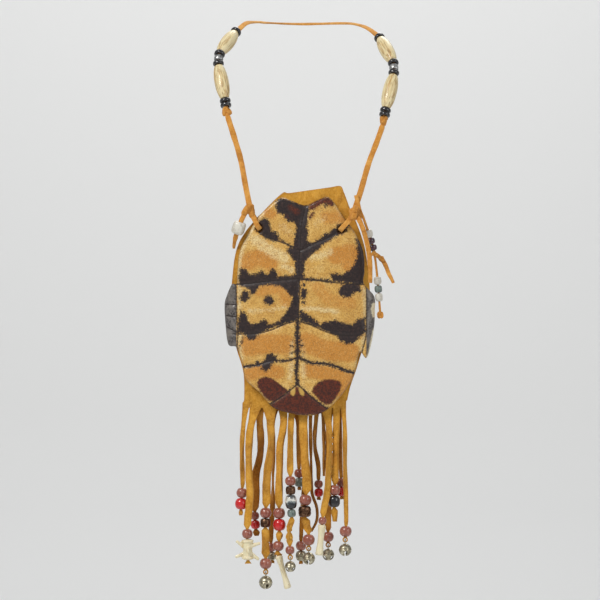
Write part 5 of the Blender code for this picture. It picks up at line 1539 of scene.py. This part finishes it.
def strip_edge(key):
    """The cut outline of a strip, from its left root round its end to its right root."""
    line = strip_line(key)
    left, right = [], []
    left_root, right_root = root_reach(key)
    for drop, width in fine_widths(strip_widths(key)):
        z = FRINGE_TOP_Z - drop
        x = line_x(line, z)
        fuller = 1 + (FULLER[key] - 1) * min(1.0, drop / 0.024)
        width = NECK_WIDTH + (width - NECK_WIDTH) * fuller if width > NECK_WIDTH else width
        rough = 0.0
        if width > NECK_WIDTH * 1.4:
            rough = 0.055 * width * noise.noise(Vector((drop * 260, ord(key), 0.5)))
        flare = max(0.0, 1 - drop / ROOT_FLARE) ** 2
        half = width / 2
        left.append((x - half - rough + (left_root - (line[0].x - half)) * flare, z))
        right.append((x + half - rough * 0.6 + (right_root - (line[0].x + half)) * flare, z))
    return left + (tab_edge(key) if key in BELLS else []) + right[::-1]


def tab_of(key):
    """The middle of the tab's hole, as x and z."""
    z = FRINGE_TOP_Z - strip_end(key)
    return line_x(strip_line(key), z), z


def tab_edge(key):
    """The round tab at a strip's end, from its left neck round to its right neck."""
    x, z = tab_of(key)
    edge = []
    for a in (math.radians(degrees) for degrees in range(140, 401, 13)):
        reach = TAB_HOLE / 2 + TAB_MARGIN if math.sin(a) < 0 else TAB_WIDTH / 2
        edge.append((x + TAB_WIDTH / 2 * math.cos(a), z + reach * math.sin(a)))
    return edge


# %% [markdown]
# The two panels meet in the seam plane and bow apart between. Each is given soft folds: shallow
# diagonal creases where the lashings pull on the corners, a slack lip along the mouth, and small
# lumps everywhere, because hide is never even.

# %% Folds
CREASE_X = 0.0285         # creases run round these two places, where the lashings pull
CREASE_Z = -0.1545


def folds(x, z, layer):
    """How far soft folds push a panel's wall outwards, in metres."""
    rise = (z - BAG_CENTRE_Z) / (POUCH_HEIGHT / 2)
    lumps = 0.00045 * noise.noise(Vector((x * 42, ord(layer[0]), z * 30)))
    start = 0.6 if layer == "front" else 2.2
    mouth = 0.0011 * max(0.0, (rise - 0.62) / 0.38) * math.sin(x * 120 + start)
    pull = 0.0
    for side in (-1, 1):
        away = math.hypot(x - side * CREASE_X, z - CREASE_Z)
        pull += 0.0005 * math.exp(-(away / 0.014) ** 2) * math.cos(away * 900)
    rim = half_width_at(max(-1.0, min(1.0, rise)))
    fade = max(0.0, min(1.0, (1.02 - abs(x) / rim) / 0.25))
    return (lumps + pull) * fade + mouth * max(0.25, fade)


# %% Building a panel
PANEL_SPACING = 0.0016
PANEL_HOLE = 0.0024
BODY_ENDS = 0.0012        # the pouch's outline is kept down to this far above the fringe's top
BODY_NARROWS = 0.005      # and from here down it is held between the outermost roots


def comb_ring(layer):
    """The pouch's outline with its strips cut into the lower edge."""
    top = [tuple(p) for p in pouch_ring if p[1] > FRINGE_TOP_Z + BODY_ENDS]
    first = max(range(len(top)), key=lambda i: math.dist(top[i - 1], top[i]))
    body = top[first:] + top[:first]
    keys = sorted((k for k in STRIPS if STRIPS[k][0] == layer), key=lambda k: -STRIPS[k][1])
    low, high = min(root_reach(k)[0] for k in keys), max(root_reach(k)[1] for k in keys)
    body = [(max(low, min(high, x)), z) if z < FRINGE_TOP_Z + BODY_NARROWS else (x, z)
            for x, z in body]
    if body[0][0] > body[-1][0]:
        body = body[::-1]
    for key in keys:
        body += strip_edge(key)[::-1]
    return body


def strip_owners(verts, keys):
    """Which strip each of the fringe's points belongs to."""
    outlines = {k: strip_edge(k) for k in keys}
    rim = [(x, z, k) for k in keys for x, z in outlines[k]]
    tree = tree_of([(x, 0.0, z) for x, z, _ in rim])
    owner = {v: rim[tree.find((v.co.x, 0.0, v.co.z))[1]][2] for v in verts}
    places = np.array([(v.co.x, v.co.z) for v in verts])
    for key in keys:
        for vert, inside in zip(verts, inside_many(places, outlines[key])):
            if inside:
                owner[vert] = key
    return owner


def hang(vert, key, line, side):
    """Turns a point of a strip about its middle line and moves it to where the strip hangs."""
    x, z = vert.co.x, vert.co.z
    drop = FRINGE_TOP_Z - z
    spans = [drop_at for stack in STRIPS[key][5] for drop_at in stack_span(stack)]
    ends = [0.0] + spans + [strip_end(key) - (0.004 if key in BELLS else -0.01)]
    share = 0.0
    for a, b in zip(ends[::2], ends[1::2]):
        if a < drop < b:
            share = math.sin(math.pi * (drop - a) / (b - a)) ** 2
    ease = min(1.0, drop / 0.02) ** 2
    angle = TWISTS[key] * share * ease * (1 + 0.35 * math.sin(drop * 130 + ord(key)))
    middle = line_x(line, z)
    off = x - middle
    cup = 0.10 * abs(off) * share
    sway = 0.0008 * share * ease * math.sin(drop * 95 + ord(key) * 1.3)
    vert.co.x = middle + off * math.cos(angle)
    vert.co.y = strip_y(key, middle, z) + off * math.sin(angle) + side * (cup + sway)


def make_panel(layer):
    """A panel with its fringe as a closed shell, and the area of the hide it is cut from."""
    keys = [k for k in STRIPS if STRIPS[k][0] == layer]
    holes = [round_hole(*hole, PANEL_HOLE, 14) for hole in LASH_HOLES.values()]
    holes += [round_hole(*tab_of(k), TAB_HOLE, 12) for k in keys if k in BELLS]
    bm = cut_sheet(comb_ring(layer), holes, PANEL_SPACING)
    face_front(bm)
    area = sum(f.calc_area() for f in bm.faces)
    edge = bm.verts.layers.float.new("edge")
    owner = strip_owners([v for v in bm.verts if v.co.z < FRINGE_TOP_Z], keys)
    lines = {k: strip_line(k) for k in keys}
    side = -1 if layer == "front" else 1
    for vert in bm.verts:
        vert[edge] = 1.0 if vert.is_boundary else 0.0
        x, z = vert.co.x, vert.co.z
        if z >= FRINGE_TOP_Z - 0.0001:
            vert.co.y = panel_y(x, z, layer) + side * folds(x, z, layer)
        else:
            hang(vert, owner[vert], lines[owner[vert]], side)
    bm.normal_update()
    outward = {v: v.normal * SUEDE / 2 for v in bm.verts}
    twin = add_back(bm)
    for vert, push in outward.items():
        twin[vert].co = vert.co - push
        vert.co += push
    bmesh.ops.recalc_face_normals(bm, faces=bm.faces)
    return bm, area


# The back panel takes the darker suede, whose darkness is painted shade.
for layer, material in (("front", pouch_suede), ("back", back_suede_painted_shade)):
    bm, area = make_panel(layer)
    name = f"suede_{layer}_panel"
    panel = finish_piece(name, bm, material, replaces=(f"pouch_{layer}_panel",),
                         sharp=80)
    print(name, MADE[name], "faces,", round(area * 1e4, 1), "square cm")

# %% [markdown]
# ## The fringe's beads, bones and bells
# Every bead lies on its strip between two drops, so its axis follows the strip there. Wooden beads
# are nearly round with a worn hole, the red ones are rounder and glossier, and the dark bronze ones
# are short fluted barrels. Small beads of the back fringe are their own pieces here as well.

# %% Sections and finishes of the fringe's beads
# Each kind: its material, its slot, how square its side is, and how far it is out of true
FRINGE_BEADS = {
    "wood": (rose_wood, "rose_wood", 1.95, 0.010),
    "red": (red_glass, "red_glass", 2.1, 0.004),
    "bronze": (bronze_metal, "bronze", 2.9, 0.006),
    "striped": (striped_glass, "striped_glass", 2.5, 0.004),
    "grey": (grey_glass, "grey_glass", 2.2, 0.004),
    "black": (black_glass, "black_glass", 2.4, 0.003),
    "bell_bead": (bell_metal, "bell_metal", 2.2, 0.004),
}


FLUTE_DEPTH = 0.045       # as a share of the barrel's width
FLUTE_WAVES = 3.8         # half waves of the fluting from the middle to an end
FRINGE_BORE = NECK_WIDTH * 1.15


def fluted(bm, length):
    """Presses shallow rings into a barrel's side."""
    for vert in bm.verts:
        z = vert.co.z / (length / 2)
        out = math.hypot(vert.co.x, vert.co.y)
        if out > 0.0025 and abs(z) < 0.72:
            press = 1 - FLUTE_DEPTH * (0.5 + 0.5 * math.cos(z * math.pi * FLUTE_WAVES))
            vert.co.x *= press
            vert.co.y *= press


def fringe_bead(key, kind, size, number, place, axis):
    """One bead of a strip; where the solids have no bead of its own, it replaces none."""
    material, slot, square, jitter = FRINGE_BEADS[kind]
    node = f"fringe_{key}_{kind}" + (f"_{number}" if kind == "wood" and number > 1 else "")
    length = piece_length(kind, size)
    bm = turn(bead_section(size, length, FRINGE_BORE, square, 14, 0.08), 36)
    roll = number * 1.3 + ord(key)
    roughen(bm, jitter, (roll, roll, 0))
    if kind == "bronze":
        fluted(bm, length)
    put(keep_local(bm), place, axis, roll)
    finish_piece(f"strip_{key}_{kind}_{number}", bm, material,
                 replaces=(node,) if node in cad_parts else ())


# %% [markdown]
# The bones are real animal bones. The two limb bones have a slim shaft between knobbly ends and are
# turned first, then pushed out of round. The vertebra has a waisted body with two pairs of wings
# and a spine, which are joined as balls and cones and then melted into one skin by a fine remesh.

# %% Limb bones
LIMB_BONES = {"long_bone": (0.0036, 0.0056), "short_bone": (0.0042, 0.0060)}   # waist and knob
MARROW = 0.00279          # the hole through a limb bone


def limb_bone(length, waist, knob, seed):
    """A slim shaft between two knobbly ends, hollow as a real one is."""
    h, w, k, b = length / 2, waist / 2, knob / 2, MARROW / 2
    outer = [(0.58 * k, h), (0.80 * k, 0.985 * h), (0.97 * k, 0.94 * h), (k, 0.87 * h),
             (0.90 * k, 0.78 * h), (w * 1.22, 0.64 * h), (w * 1.05, 0.45 * h), (w, 0.2 * h),
             (w, -0.1 * h), (w * 1.06, -0.4 * h), (w * 1.25, -0.62 * h), (0.90 * k, -0.78 * h),
             (k, -0.88 * h), (0.93 * k, -0.95 * h), (0.66 * k, -h)]
    bm = turn(outer + [(b, -h + 0.0004), (b, h - 0.0004)], 32)
    for vert in bm.verts:
        co = vert.co
        out = math.hypot(co.x, co.y)
        if out < b * 1.1:
            continue
        end = min(1.0, max(0.0, (abs(co.z) / h - 0.62) / 0.3))
        angle = math.atan2(co.y, co.x)
        lumps = 0.05 * noise.noise(co * 300 + Vector((seed, 0, 0)))
        knobbly = end * 0.13 * math.cos(2 * angle + seed)
        three_sided = (1 - end) * 0.06 * math.cos(3 * angle + seed)
        scale = 1 + knobbly + lumps + three_sided
        co.x *= scale
        co.y *= scale
    return bm


# %% The vertebra
VERTEBRA_RADIUS = 0.0046
SKIN_VOXEL = 0.00028


def vertebra_skin(size):
    """Body, wings and spine as a rough union, then one voxel skin, smoothed."""
    h, r = size / 2, VERTEBRA_RADIUS
    bm = bmesh.new()

    def ball(place, scale):
        made = bmesh.ops.create_icosphere(bm, subdivisions=3, radius=1.0)["verts"]
        bmesh.ops.scale(bm, vec=scale, verts=made)
        bmesh.ops.translate(bm, vec=place, verts=made)

    def horn(base, tip, thick, thin):
        base, tip = Vector(base), Vector(tip)
        made = bmesh.ops.create_cone(bm, cap_ends=True, segments=14, radius1=thick, radius2=thin,
                                     depth=(tip - base).length)["verts"]
        bmesh.ops.transform(bm, matrix=stand((base + tip) / 2, tip - base), verts=made)
        ball(tip, (thin * 1.25, thin * 1.15, thin * 1.25))

    cylinder = bmesh.ops.create_cone(bm, cap_ends=True, segments=24, radius1=r * 0.70,
                                     radius2=r * 0.70, depth=size * 0.9)["verts"]
    bmesh.ops.scale(bm, vec=(1, 0.85, 1), verts=cylinder)
    ball((0, 0, h * 0.78), (r * 0.98, r * 0.86, h * 0.22))
    ball((0, 0, -h * 0.78), (r * 0.95, r * 0.84, h * 0.20))
    horn((-0.6 * r, 0, 0.30 * h), (-1.55 * r, -0.0006, 0.78 * h), 0.0017, 0.0009)
    horn((0.6 * r, 0, 0.36 * h), (1.72 * r, -0.0002, 0.55 * h), 0.0017, 0.0010)
    horn((-0.6 * r, 0, -0.40 * h), (-1.70 * r, 0.0004, -0.62 * h), 0.0018, 0.0010)
    horn((0.6 * r, 0, -0.45 * h), (1.45 * r, -0.0002, -0.86 * h), 0.0017, 0.0011)
    horn((0, -0.5 * r, 0.1 * h), (0.0004, -0.98 * r, -0.12 * h), 0.0019, 0.0011)
    rough = add_object("vertebra_rough", to_mesh("vertebra_rough", bm))
    remesh = rough.modifiers.new("skin", "REMESH")
    remesh.mode = "VOXEL"
    remesh.voxel_size = SKIN_VOXEL
    bm = with_modifiers(rough)
    for _ in range(9):
        bmesh.ops.smooth_vert(bm, verts=bm.verts, factor=0.5, use_axis_x=True, use_axis_y=True,
                              use_axis_z=True)
    for vert in bm.verts:
        vert.co += vert.normal * 0.00014 * noise.noise(vert.co * 700)
    return bm


# %% Placing everything on the strips
def place_vertebra(bm, middle, axis):
    """Stands it on its strip with its wings to the left and right."""
    across = (Vector((1, 0, 0)) - axis * axis.x).normalized()
    turn_to = Matrix((across, axis.cross(across), axis)).transposed().to_4x4()
    bmesh.ops.transform(bm, matrix=Matrix.Translation(middle) @ turn_to, verts=bm.verts)


def string_piece(key, kind, size, number, drop):
    """Places one bead or bone so that its top is at the drop."""
    length = piece_length(kind, size)
    foot = min(drop + length, strip_end(key)) if kind in LIMB_BONES else drop + length
    top, low = (on_strip(key, FRINGE_TOP_Z - d) for d in (drop, foot))
    axis, middle = (top - low).normalized(), (top + low) / 2
    if kind in FRINGE_BEADS:
        fringe_bead(key, kind, size, number, middle, axis)
        return
    if kind in LIMB_BONES:
        bm = keep_local(limb_bone(length, *LIMB_BONES[kind], ord(key)))
        put(bm, top - axis * length / 2, axis)
    else:
        bm = keep_local(vertebra_skin(size))
        place_vertebra(bm, middle, axis)
    finish_piece(f"strip_{key}_{kind}", bm, small_bone, replaces=(f"fringe_{key}_{kind}",))


for key, strip in STRIPS.items():
    number = 0
    for top, items in strip[5]:
        drop = top
        for kind, size in items:
            number += 1
            string_piece(key, kind, size, number, drop)
            drop += piece_length(kind, size) + TOUCH
print(len(MADE), "pieces so far")

# %% [markdown]
# ## Bells
# Each bell is a thin hollow ball in two halves, pressed together at a raised belt, with a cross of
# slots below and a wire ring above that goes through the strip's punched tab. A bell swings, so it
# rides on its own body.

# %% A bell's hollow ball
BELL_WALL = 0.0006
BELL_SIDES = 40
BELT = 1.045              # the belt's radius as a share of the ball's
SLOT_WIDTH = 0.0012
SLOT_END = 0.00105        # radius of the round hole at a slot's end
QUARTER = math.radians(90)


def half_circle(radius, degrees):
    """(radius, height) points of a ball's section."""
    return [(max(0.0, radius * math.cos(a)), radius * math.sin(a))
            for a in map(math.radians, degrees)]


def bell_shell(radius):
    """Two balls, one in the other: the outer with a belt, the inner with its faces inwards."""
    outer = [(radius * BELT if abs(z) < radius * 0.06 else r, z)
             for r, z in half_circle(radius, range(90, -91, -6))]
    inner = half_circle(radius - BELL_WALL, range(-90, 91, 10))
    bm = bmesh.new()
    for section in (outer, inner):
        verts = [bm.verts.new((r, 0.0, z)) for r, z in section]
        edges = [bm.edges.new(pair) for pair in zip(verts, verts[1:])]
        spin_round(bm, verts + edges, BELL_SIDES)
    bmesh.ops.remove_doubles(bm, verts=bm.verts, dist=WELD)
    bmesh.ops.recalc_face_normals(bm, faces=bm.faces)
    for face in bm.faces:
        middle = face.calc_center_median()
        outwards = face.normal.dot(middle) > 0
        is_outer = middle.length > radius - BELL_WALL * 0.5
        if outwards != is_outer:
            face.normal_flip()
    return bm


def slot_cutter(radius, angle):
    """A thin block with a round bar at each end, which cuts one slot."""
    cut = bmesh.new()
    bmesh.ops.create_cube(cut, size=1.0)
    bmesh.ops.scale(cut, vec=(radius * 1.55, SLOT_WIDTH, radius * 0.9), verts=cut.verts)
    bmesh.ops.translate(cut, vec=(0, 0, -0.86 * radius), verts=cut.verts)
    for sign in (-1, 1):
        bar = bmesh.ops.create_cone(cut, cap_ends=True, segments=20, radius1=SLOT_END,
                                    radius2=SLOT_END, depth=radius * 2)["verts"]
        place = Matrix.Translation((sign * radius * 0.95, 0, -0.40 * radius))
        bmesh.ops.transform(cut, matrix=place @ Matrix.Rotation(QUARTER, 4, "Y"), verts=bar)
    bmesh.ops.transform(cut, matrix=Matrix.Rotation(math.radians(angle), 4, "Z"), verts=cut.verts)
    return add_object("slot_cut", to_mesh("slot_cut", cut))


def cut_slots(bm, radius):
    """Cuts a cross of slots with round ends through the lower half."""
    ball = add_object("bell_ball", to_mesh("bell_ball", bm))
    cutters = [slot_cutter(radius, angle) for angle in (0, 90)]
    for cutter in cutters:
        boolean = ball.modifiers.new("slot", "BOOLEAN")
        boolean.operation = "DIFFERENCE"
        boolean.solver = "EXACT"
        boolean.use_self = True
        boolean.object = cutter
    bm = with_modifiers(ball)
    for cutter in cutters:
        bpy.data.objects.remove(cutter)
    return bm


# %% A bell's wire ring, and the bells in their tabs
BELL_RING_RADIUS = 0.0016
BELL_RING_WIRE = 0.0008
BELL_RING_SUNK = 0.0004   # how far the ring is sunk into the ball's top


def wire_ring(radius, wire):
    """A ring of round wire that stands upright."""
    bm = bmesh.new()
    ring = bmesh.ops.create_circle(bm, cap_ends=False, segments=12, radius=wire / 2)["verts"]
    bmesh.ops.rotate(bm, cent=(0, 0, 0), matrix=Matrix.Rotation(QUARTER, 3, "X"), verts=ring)
    bmesh.ops.translate(bm, vec=(radius, 0, 0), verts=ring)
    spin_round(bm, bm.verts[:] + bm.edges[:], 32)
    bmesh.ops.remove_doubles(bm, verts=bm.verts, dist=WELD)
    bmesh.ops.rotate(bm, cent=(0, 0, 0), matrix=Matrix.Rotation(QUARTER, 3, "Y"), verts=bm.verts)
    bmesh.ops.recalc_face_normals(bm, faces=bm.faces)
    return bm


for key, diameter in BELLS.items():
    radius = diameter / 2
    pivot = on_strip(key, tab_of(key)[1]) - Vector((0, 0, TAB_HOLE / 2 + TAB_MARGIN / 2))
    bm = cut_slots(bell_shell(radius), radius)
    turn_to = Matrix.Rotation(math.radians(25 + 17 * ord(key)), 4, "Z")
    below = Matrix.Translation((0, 0, BELL_RING_SUNK - BELL_RING_RADIUS - radius))
    bmesh.ops.transform(bm, matrix=below @ turn_to, verts=bm.verts)
    merge(bm, wire_ring(BELL_RING_RADIUS, BELL_RING_WIRE))
    keep_local(bm)
    bmesh.ops.translate(bm, vec=pivot, verts=bm.verts)
    finish_piece(f"bell_{key}_metal", bm, bell_metal, f"bell_{key}", (f"bell_{key}",),
                 35)
    print("bell", key, MADE[f"bell_{key}_metal"], "faces")

# %% [markdown]
# ## Lashings, side lace and side beads
# The lace that carries the bag ends in a knot at each side of the plate. From the knot it runs to
# the hole, goes through the plate and both panels, comes back round the edge and is tied off. A
# short end on the left carries a white bead; two longer ends hang down on the right, one flat and
# bare, one strung with small beads and forked.

# %% Lashing knots and loops
LASH_WIDTH = 0.0036
LASH_THICK = 0.0012
LASH_STEP = 0.0011        # how far apart the rings of a swept lace lie
LASH_KNOT = 0.0048        # the knots' radius
KNOT_DROP = 0.0029        # how far a knot's middle hangs below the strap's end
LEFT_BEAD_LACE = [
    (-0.0372, -0.1340, -0.1418), (-0.0405, -0.1355, -0.1480), (-0.0428, -0.1350, -0.1540),
    (-0.0450, -0.1325, -0.1605), (-0.0460, -0.1295, -0.1650), (-0.0464, -0.1270, -0.1682),
]


def lash_loop(side):
    """Where a side's knot sits, and the way of its loop through the hole and round the edge."""
    sign = -1 if side == "left" else 1
    hole_x, hole_z = LASH_HOLES[side]
    end = Vector(STRAP_LEFT[-1] if side == "left" else STRAP_RIGHT[-1])
    knot = end + Vector((0.0002 * sign, -0.0004, -KNOT_DROP))
    front = plate_y(hole_x, hole_z) - PLATE_THICK / 2 - LASH_THICK * 1.3
    back = panel_y(hole_x, hole_z, "back") + SUEDE / 2 + LASH_THICK
    rim_x = knot.x + 0.0012 * sign
    return knot, [
        knot + Vector((-0.0004 * sign, -0.0004, 0.0002)),
        Vector((hole_x * 0.55 + knot.x * 0.45, front - 0.0008, hole_z * 0.55 + knot.z * 0.45)),
        Vector((hole_x + 0.0010 * sign, front - 0.0004, hole_z + 0.0014)),
        Vector((hole_x - 0.0002 * sign, front + 0.0016, hole_z - 0.0001)),
        Vector((hole_x, (front + back) / 2, hole_z)),
        Vector((hole_x, back - 0.0020, hole_z)),
        Vector((hole_x + 0.0009 * sign, back + 0.0002, hole_z + 0.0012)),
        Vector((hole_x * 0.45 + knot.x * 0.55, back + 0.0006, hole_z * 0.35 + knot.z * 0.65)),
        Vector((rim_x, BAG_SEAM_Y + 0.0010, knot.z + 0.0008)),
        Vector((rim_x, (BAG_SEAM_Y + knot.y) / 2, knot.z + 0.0006)),
        knot + Vector((0.0004 * sign, 0.0006, 0.0004)),
    ]


def lashing_piece(side, end_points, end_width, end_thick, lean, seed):
    """The knot, the loop through the hole and the short end below it, in one piece."""
    knot, loop = lash_loop(side)
    route = evenly(smooth_route(loop, 6), LASH_STEP)
    end_route = evenly(smooth_route(end_points), LASH_STEP)
    bm = knot_on_lace(knot + Vector((0, -0.0008, 0)), Vector((lean, 0.15, 1)).normalized(),
                      LASH_KNOT, seed)
    merge(bm, sweep_lace(route, LASH_WIDTH, LASH_THICK, seed=21, wobble=0.06))
    merge(bm, sweep_lace(end_route, end_width, end_thick, twist=0.15, seed=30, taper=0.45))
    finish_piece(f"{side}_lace_tie", keep_local(bm), lace_suede, replaces=(f"{side}_lashing",),
                 sharp=60)


RIGHT_LOOP_END = [(0.0392, -0.1300, -0.1312), (0.0405, -0.1318, -0.1372),
                  (0.0418, -0.1328, -0.1420), (0.0436, -0.1328, -0.1452)]
lashing_piece("left", LEFT_BEAD_LACE, 0.0034, 0.0013, lean=0.25, seed=3)
lashing_piece("right", RIGHT_LOOP_END, 0.0030, 0.0012, lean=-0.25, seed=4)
print("lashings", MADE["left_lace_tie"], MADE["right_lace_tie"], "faces")


# %% The side beads
CUBE_BEAD = 0.0090
CUBE_CORNER = 3.6         # 2 would leave it round; more makes its corners sharper


def cube_bead(diameter, length, bore):
    """A bead squared off all round: a turned section pressed towards a square outline."""
    bm = turn(bead_section(diameter, length, bore, 3.4, 14, 0.10), 48)
    lip = bore * 0.62
    for vert in bm.verts:
        out = math.hypot(vert.co.x, vert.co.y)
        if out > lip:
            a = math.atan2(vert.co.y, vert.co.x)
            corners = abs(math.cos(a)) ** CUBE_CORNER + abs(math.sin(a)) ** CUBE_CORNER
            full = corners ** (-1 / CUBE_CORNER)
            share = (out - lip) / (diameter / 2 - lip)
            grow = 1 + (full - 1) * 0.62 * share
            vert.co.x *= grow
            vert.co.y *= grow
        vert.co *= 1 + 0.010 * noise.noise(vert.co * 300)
    return bm


def side_beads(route, beads, start):
    """Beads side by side on a lace: (node, diameter, length, material, slot)."""
    made, along = [], start
    for node, diameter, length, material, slot in beads:
        a, b = point_at(route, along), point_at(route, along + length)
        bm = turn(bead_section(diameter, length, SIDE_BORE, 2.2, 12, 0.06), 32)
        roughen(bm, 0.012, (len(made), 3, 1), 420)
        keep_local(bm)
        put(bm, (a + b) / 2, (a - b).normalized(), len(made) * 1.1)
        made.append(finish_piece(node + "_strung", bm, material, replaces=(node,)))
        along += length + STRUNG
    return made


left_route = smooth_route([(-0.0380, -0.1345, -0.1430)] + LEFT_BEAD_LACE[1:])
a, b = point_at(left_route, 0.0078), point_at(left_route, 0.0168)
bm = keep_local(cube_bead(CUBE_BEAD, CUBE_BEAD, SIDE_BORE))
put(bm, (a + b) / 2, (a - b).normalized(), 0.35)
finish_piece("left_side_bead_white", bm, white_glass, replaces=("left_side_bead",))

side_line = smooth_route(RIGHT_SIDE_LACE)
UPPER = [("right_upper_bead_1", 0.0062, 0.0056, white_glass, "white_glass"),
         ("right_upper_bead_2", 0.0060, 0.0044, plum_glass, "plum_glass"),
         ("right_upper_bead_3", 0.0058, 0.0042, plum_glass, "plum_glass")]
LOWER = [("right_lower_bead_1", 0.0054, 0.0056, white_glass, "white_glass"),
         ("right_lower_bead_2", 0.0054, 0.0050, grey_glass, "grey_glass"),
         ("right_lower_bead_3", 0.0054, 0.0056, white_glass, "white_glass")]
on_side_lace = side_beads(side_line, UPPER, 0.0110) + side_beads(side_line, LOWER, 0.0450)

# %% The fork of the side lace, and the knot at its end
UP = Vector((0, 0, 1))
SMALL_KNOT = 0.0024
FORK_KNOT = 0.0021
FORK = [(373.7, 253.5), (378, 256), (382, 259.5), (386, 266.5), (388.4, 273), (391.5, 279),
        (393.3, 283)]
fork_points = [Vector((x, -0.1272 - 0.0006 * i, z))
               for i, (x, z) in enumerate(from_layout(*p) for p in FORK)]
fork = sweep_lace(evenly(smooth_route(fork_points), LASH_STEP), 0.0030, 0.0012, twist=0.4, seed=41,
                  taper=0.3)
along_fork = (fork_points[1] - fork_points[3]).normalized()
merge(fork, knot_on_lace(fork_points[2], along_fork, FORK_KNOT, 8))
merge(fork, knot_on_lace(fork_points[0], Vector((0.3, 0, 1)).normalized(), FORK_KNOT, 9))
on_side_lace.append(finish_piece("side_lace_fork", keep_local(fork), lace_suede))
end_knot = keep_local(knot_on_lace(Vector(RIGHT_SIDE_LACE[-1]), UP, SMALL_KNOT, 11))
on_side_lace.append(finish_piece("side_lace_end_knot", end_knot, lace_suede))
print(len(on_side_lace), "pieces on the side lace")

# %% Two small knots low on one strip
STRIP_F_KNOTS = (0.0838, 0.0890)
for number, drop in enumerate(STRIP_F_KNOTS, 1):
    bm = keep_local(knot_on_lace(on_strip("f", FRINGE_TOP_Z - drop), UP, SMALL_KNOT, 50 + number))
    finish_piece(f"strip_f_knot_{number}", bm, pouch_suede)
